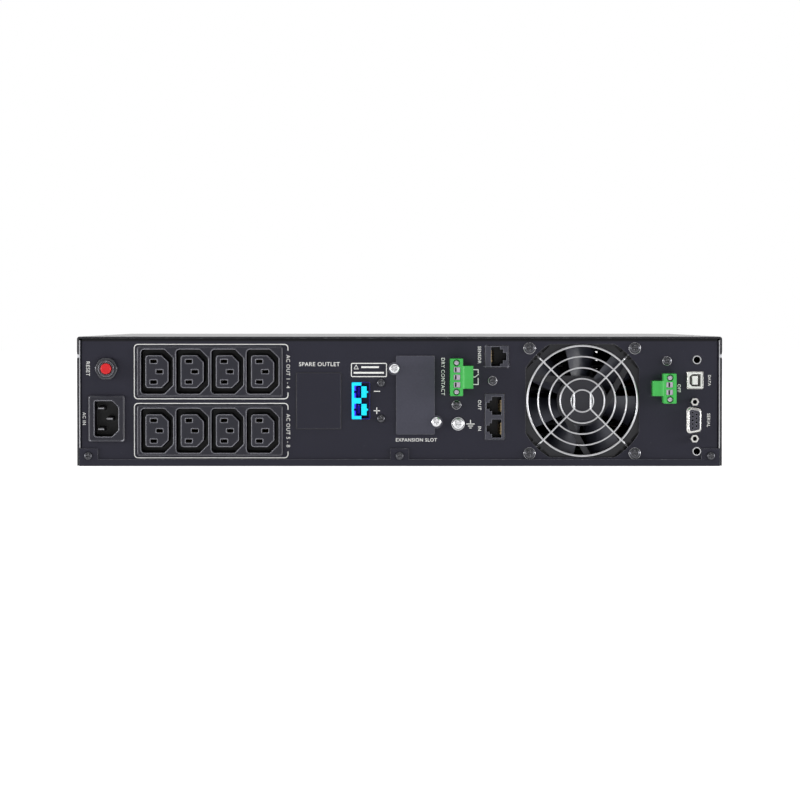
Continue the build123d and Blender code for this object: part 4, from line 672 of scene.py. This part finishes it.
def port_words():
    """Generic words beside the ports."""
    mesh = bmesh.new()
    for words, node, right, up, scale, turned in WORDS:
        at = middle(node)
        add_words(mesh, words, at.x + right * MM, at.z + up * MM, LETTER * scale, turned)
    finish_piece("port_words", mesh, INK)


# Printed lines: node, points right and up from its centre in millimetres, width of the line.
EARTH = ("fan_guard", -75.9, -15.7)
SIGNS = (
    ("battery_connector", ((2.9, 6.4), (7.2, 6.4)), 0.6),
    ("battery_connector", ((2.7, -6.8), (7.1, -6.8)), 0.6),
    ("battery_connector", ((4.9, -4.6), (4.9, -9.0)), 0.6),
    ("relay_plug", ((7.9, 5.0), (11.4, 5.0), (11.4, 2.6)), 0.55),
    ("relay_plug", ((7.9, -5.0), (11.4, -5.0), (11.4, -0.6)), 0.55),
    ("relay_plug", ((7.9, 0.0), (9.4, 0.0), (11.9, 2.2)), 0.55),
    ("battery_connector", ((-10.6, 21.6), (-9.1, 24.3), (-7.6, 21.6), (-10.6, 21.6)), 0.4),
    ("battery_connector", ((-5.6, 22.8), (6.4, 22.8)), 1.2),
    ("battery_connector", ((-10.8, 19.0), (9.8, 19.0)), 1.2),
)


def earth_sign():
    """Lines of the earth symbol: a stem over three bars, each shorter than the last."""
    node, x, z = EARTH
    bars = [(node, ((x - half, z - down), (x + half, z - down)), 0.6)
            for half, down in ((2.8, 0.0), (1.7, 1.4), (0.8, 2.7))]
    return [*bars, (node, ((x, z), (x, z + 2.8)), 0.6)]


def symbols():
    """Polarity, earth and relay contact symbols, and the plain caution box over the battery connector."""
    mesh = bmesh.new()
    for node, points, width in (*SIGNS, *earth_sign()):
        at = middle(node)
        places = [(at.x + x * MM, at.z + z * MM) for x, z in points]
        add_ribbon(mesh, places, width * MM, INK_FRONT, INK_BACK)
    at = middle("battery_connector")
    x, z = at.x - 0.4 * MM, at.z + 20.9 * MM
    outer = rounded_rectangle(x, z, 24.4 * MM, 9.6 * MM, 1.0 * MM)
    inner = rounded_rectangle(x, z, 23.2 * MM, 8.4 * MM, 0.5 * MM)
    add_band(mesh, outer, inner, INK_FRONT, INK_BACK)
    finish_piece("panel_symbols", mesh, INK)


# =====================================================================================
# Rear fittings
# =====================================================================================


def bushing_teeth():
    """Notched end of the breaker's threaded bushing."""
    mesh = bmesh.new()
    at = middle("breaker_nut")
    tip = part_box("breaker_body")[0].y
    teeth = 16
    for tooth in range(teeth):
        start = tau * tooth / teeth
        arc = [start + tau / teeth * share for share in (0.0, 0.35, 0.7)]
        outline = [(at.x + 5.2 * MM * cos(a), at.z + 5.2 * MM * sin(a)) for a in arc]
        outline += [(at.x + 4.3 * MM * cos(a), at.z + 4.3 * MM * sin(a)) for a in reversed(arc)]
        add_plate(mesh, outline, tip - 0.45 * MM, tip + 0.2 * MM)
    teeth_piece = finish_piece("bushing_teeth", mesh, SURFACES["black_screw"])
    bevel = teeth_piece.modifiers.new("round", "BEVEL")
    bevel.width = 0.12 * MM


def plate_seam():
    """Dark seam round the blanking plate."""
    mesh = bmesh.new()
    low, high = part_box("blanking_plate")
    at = middle("blanking_plate")
    width, height = high.x - low.x, high.z - low.z
    outer = rounded_rectangle(at.x, at.z, width + 0.7 * MM, height + 0.7 * MM, 0.4 * MM)
    inner = rounded_rectangle(at.x, at.z, width + 0.04 * MM, height + 0.04 * MM, 0.1 * MM)
    add_band(mesh, outer, inner, INK_FRONT, INK_BACK)
    finish_piece("plate_seam", mesh, SURFACES["fan_plastic"])


def clinch_rings():
    """Bright metal rims of the two threaded spare holes near the right edge."""
    mesh = bmesh.new()
    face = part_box("rear_panel")[0].y
    mount = next(m for m in frame["record"]["mounts"] if m["name"] == "accessory_holes")
    x, _, middle_z = mount["pos_m"]
    for side in (-1, 1):
        z = middle_z + side * mount["dims"]["spacing_y_mm"] / 2 * MM
        add_band(mesh, circle(x, z, 2.85 * MM), circle(x, z, 2.3 * MM), face - 0.04 * MM, face + 0.04 * MM)
    finish_piece("clinch_rings", mesh, SURFACES["zinc_steel"])


def loose_parts(node):
    """Boxes (low, high) of the separate solids of a CAD node."""
    mesh = bmesh.new()
    mesh.from_mesh(frame["nodes"][node].data)
    mesh.transform(frame["nodes"][node].matrix_world)
    bmesh.ops.remove_doubles(mesh, verts=mesh.verts, dist=0.001 * MM)
    waiting = set(mesh.verts)
    boxes = []
    while waiting:
        part, edge = [], [waiting.pop()]
        while edge:
            vert = edge.pop()
            part.append(vert.co.copy())
            for link in vert.link_edges:
                other = link.other_vert(vert)
                if other in waiting:
                    waiting.remove(other)
                    edge.append(other)
        corners = list(zip(*part))
        boxes.append((Vector(map(min, corners)), Vector(map(max, corners))))
    mesh.free()
    return boxes


def add_ring(mesh, centre, radius, thickness, steps=40, sides=12):
    """Round ring facing the rear."""
    rings = []
    for step in range(steps):
        turn = tau * step / steps
        out = Vector((cos(turn), 0, sin(turn)))
        ring = []
        for k in range(sides):
            angle = tau * k / sides
            rise = Vector((0, thickness * sin(angle), 0))
            ring.append(mesh.verts.new(centre + out * (radius + thickness * cos(angle)) + rise))
        rings.append(ring)
    for a, b in zip(rings, rings[1:] + rings[:1]):
        for k in range(sides):
            mesh.faces.new((a[k - 1], a[k], b[k], b[k - 1]))


def screw_rings():
    """Spring ring under the head of each dark screw of the rear panel, but for the battery connector's."""
    mesh = bmesh.new()
    connector = middle("battery_connector").x
    for low, high in loose_parts("rear_screws"):
        centre = Vector(((low.x + high.x) / 2, PANEL_Y - 0.2 * MM, (low.z + high.z) / 2))
        if abs(centre.x - connector) > 20 * MM:
            add_ring(mesh, centre, (high.x - low.x) / 2 + 0.1 * MM, 0.28 * MM)
    finish_piece("screw_rings", mesh, RING_STEEL, smooth=True)


def motor_label():
    """Plain round label on the fan's motor."""
    mesh = bmesh.new()
    at = middle("fan_guard")
    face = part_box("fan_frame")[0].y + 0.5 * MM
    add_plate(mesh, circle(at.x, at.z, 14.6 * MM, 72), face - 0.12 * MM, face + 0.05 * MM)
    finish_piece("motor_label", mesh, LABEL)


# =====================================================================================
# Front and drawer
# =====================================================================================


ICON_LINE = 0.5 * MM
WALL = 1.6 * MM  # sheet of the front wall
FOAM_SPANS = ((6 * MM, 54 * MM), (160 * MM, 214 * MM))  # left and right edges of the two pads
FOAM_BOTTOM, FOAM_TOP, FOAM_DEPTH = 10 * MM, 78 * MM, 1.5 * MM


def air_filters():
    """Foam pads against the back of the front wall, behind the bezel's two groups of louvres."""
    mesh = bmesh.new()
    wall_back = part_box("front_frame")[1].y - WALL
    for left, right in FOAM_SPANS:
        outline = [(left, FOAM_BOTTOM), (right, FOAM_BOTTOM), (right, FOAM_TOP), (left, FOAM_TOP)]
        add_plate(mesh, outline, wall_back - FOAM_DEPTH, wall_back)
    finish_piece("air_filters", mesh, FOAM)


def button_icons():
    """Generic symbols on the three front buttons: on, off and select."""
    for kind in ("on", "off", "select"):
        node = f"{kind}_button"
        at = middle(node)
        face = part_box(node)[1].y
        depths = (face - 0.05 * MM, face + 0.005 * MM)
        mesh = bmesh.new()
        if kind == "on":
            add_ribbon(mesh, [(at.x, at.z - 1.8 * MM), (at.x, at.z + 1.8 * MM)], ICON_LINE, *depths)
        elif kind == "off":
            add_band(mesh, circle(at.x, at.z, 1.9 * MM), circle(at.x, at.z, 1.4 * MM), *depths)
        else:
            left, tip, right = (-1.8, -0.9), (0.0, 1.1), (1.8, -0.9)
            chevron = [(at.x + x * MM, at.z + z * MM) for x, z in (left, tip, right)]
            add_ribbon(mesh, chevron, ICON_LINE, *depths)
        finish_piece(f"{kind}_icon", mesh, INK, body=node)


def status_lights():
    """Four domed indicator lenses in a column beside the display."""
    low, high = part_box("display_lens")
    face = high.y + 0.1 * MM
    mesh = bmesh.new()
    for row in range(4):
        z = high.z - (4.0 + 8.0 * row) * MM
        lens = bmesh.ops.create_uvsphere(mesh, u_segments=24, v_segments=12, radius=1.6 * MM)["verts"]
        bmesh.ops.scale(mesh, vec=(1.0, 0.5, 1.0), verts=lens)
        bmesh.ops.translate(mesh, vec=(high.x + 8.0 * MM, face, z), verts=lens)
    finish_piece("status_lights", mesh, LENS, smooth=True)


def battery_labels():
    """Plain label with two coloured bands on the top of each battery, and its row of vent slots."""
    label, bands, vents = bmesh.new(), bmesh.new(), bmesh.new()
    for number in range(1, 5):
        low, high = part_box(f"battery_{number}")
        x, y, top = (low.x + high.x) / 2, (low.y + high.y) / 2, low.z + BATTERY_HEIGHT
        outline = rounded_rectangle(x, y, 60 * MM, 84 * MM, 3 * MM)
        add_plate(label, outline, top - 0.1 * MM, top + 0.1 * MM, level)
        for along, depth in ((34 * MM, 10 * MM), (-35 * MM, 6 * MM)):
            outline = rounded_rectangle(x, y + along, 56 * MM, depth, 1 * MM)
            add_plate(bands, outline, top - 0.1 * MM, top + 0.16 * MM, level)
        for slot in range(-4, 5):
            outline = rounded_rectangle(x + slot * 7 * MM, y - 60 * MM, 2.2 * MM, 9 * MM, 1.05 * MM)
            add_plate(vents, outline, top - 0.2 * MM, top + 0.35 * MM, level)
    finish_piece("battery_labels", label, LABEL, "battery_drawer")
    finish_piece("battery_bands", bands, BAND, "battery_drawer")
    finish_piece("battery_vents", vents, SURFACES["battery_case"], "battery_drawer")


for build in (
    outlet_frames, port_words, symbols, bushing_teeth, plate_seam, clinch_rings, screw_rings,
    air_filters, motor_label, button_icons, status_lights, battery_labels,
):
    build()

# =====================================================================================
# Studio
# =====================================================================================


# Brightness of the studio behind the camera, at both sides, overhead and beyond the object.
ROOM_DARK = 0.06
ROOM_SIDE = 1.0
ROOM_TOP = 0.5
ROOM_AHEAD = 1.2


def studio_floor():
    """Pale floor, bright enough to run into the white background."""
    mesh = bmesh.new()
    add_plate(mesh, rounded_rectangle(0, 0, 14, 14, 1), cad_box[0].z - 0.01, cad_box[0].z, level)
    data = bpy.data.meshes.new("floor")
    mesh.to_mesh(data)
    mesh.free()
    floor = bpy.data.objects.new("floor", data)
    bpy.context.scene.collection.objects.link(floor)
    pale = Surface("floor_white", (0.40, 0.40, 0.40), 0.9, specular=0.0)
    pale.set("Emission Color", (1, 1, 1, 1))
    pale.set("Emission Strength", 0.85)
    data.materials.append(pale.material)


def softbox(name, place, width, height, power):
    """Area light turned towards the object."""
    light = bpy.data.lights.new(name, "AREA")
    light.shape = "RECTANGLE"
    light.size = width
    light.size_y = height
    light.energy = power
    holder = bpy.data.objects.new(name, light)
    holder.location = place
    holder.rotation_euler = (Vector((0, 0, 0.04)) - Vector(place)).to_track_quat("-Z", "Y").to_euler()
    holder.visible_camera = False
    bpy.context.scene.collection.objects.link(holder)


def room():
    """Plain white background over a studio that is bright at both sides and darker behind the camera."""
    world = bpy.data.worlds.new("studio")
    world.use_nodes = True
    nodes, links = world.node_tree.nodes, world.node_tree.links

    def ramp(value, start, end, low, high):
        fade = nodes.new("ShaderNodeMapRange")
        fade.interpolation_type = "SMOOTHSTEP"
        for socket, number in (("From Min", start), ("From Max", end), ("To Min", low), ("To Max", high)):
            fade.inputs[socket].default_value = number
        links.new(value, fade.inputs["Value"])
        return fade.outputs["Result"]

    def math(operation, first, second=0.0):
        node = nodes.new("ShaderNodeMath")
        node.operation = operation
        for socket, value in zip(node.inputs, (first, second)):
            if isinstance(value, bpy.types.NodeSocket):
                links.new(value, socket)
            else:
                socket.default_value = value
        return node.outputs[0]

    place = nodes.new("ShaderNodeTexCoord")
    split = nodes.new("ShaderNodeSeparateXYZ")
    links.new(place.outputs["Generated"], split.inputs[0])
    sideways = math("ABSOLUTE", split.outputs["X"])
    around = ramp(sideways, 0.20, 0.85, ROOM_DARK, ROOM_SIDE)
    overhead = ramp(split.outputs["Z"], 0.25, 0.95, 0.0, ROOM_TOP)
    ahead = ramp(split.outputs["Y"], 0.55, 0.95, 0.0, ROOM_AHEAD)
    light = math("ADD", math("ADD", around, overhead), ahead)
    seen = nodes.new("ShaderNodeLightPath").outputs["Is Camera Ray"]
    strength = nodes.new("ShaderNodeMix")
    links.new(seen, strength.inputs[0])
    links.new(light, strength.inputs[2])
    strength.inputs[3].default_value = 1.0
    background = nodes["Background"]
    links.new(strength.outputs[0], background.inputs["Strength"])
    background.inputs["Color"].default_value = (1, 1, 1, 1)
    bpy.context.scene.world = world


def photographer():
    """Camera a little above the rear panel, about two metres behind it."""
    lens = bpy.data.cameras.new("camera")
    lens.lens = 137.6
    lens.sensor_width = 36
    holder = bpy.data.objects.new("camera", lens)
    panel = middle("rear_panel")
    aim = Vector((0.3 * MM, PANEL_Y, panel.z + 0.9 * MM))
    holder.location = aim + Vector((0, -2.077, 0.055))
    holder.rotation_euler = (aim - holder.location).to_track_quat("-Z", "Y").to_euler()
    bpy.context.scene.collection.objects.link(holder)
    bpy.context.scene.camera = holder


studio_floor()
room()
for side in (-1, 1):
    softbox(f"rear_softbox_{side}", (side * 1.6, -0.62, 0.16), 0.75, 0.45, 17)
    softbox(f"front_softbox_{side}", (side * 1.5, 1.0, 0.4), 0.9, 0.7, 18)
softbox("top_softbox", (0, -0.5, 2.2), 1.4, 0.8, 8)
photographer()
bpy.context.scene.view_settings.view_transform = "Standard"
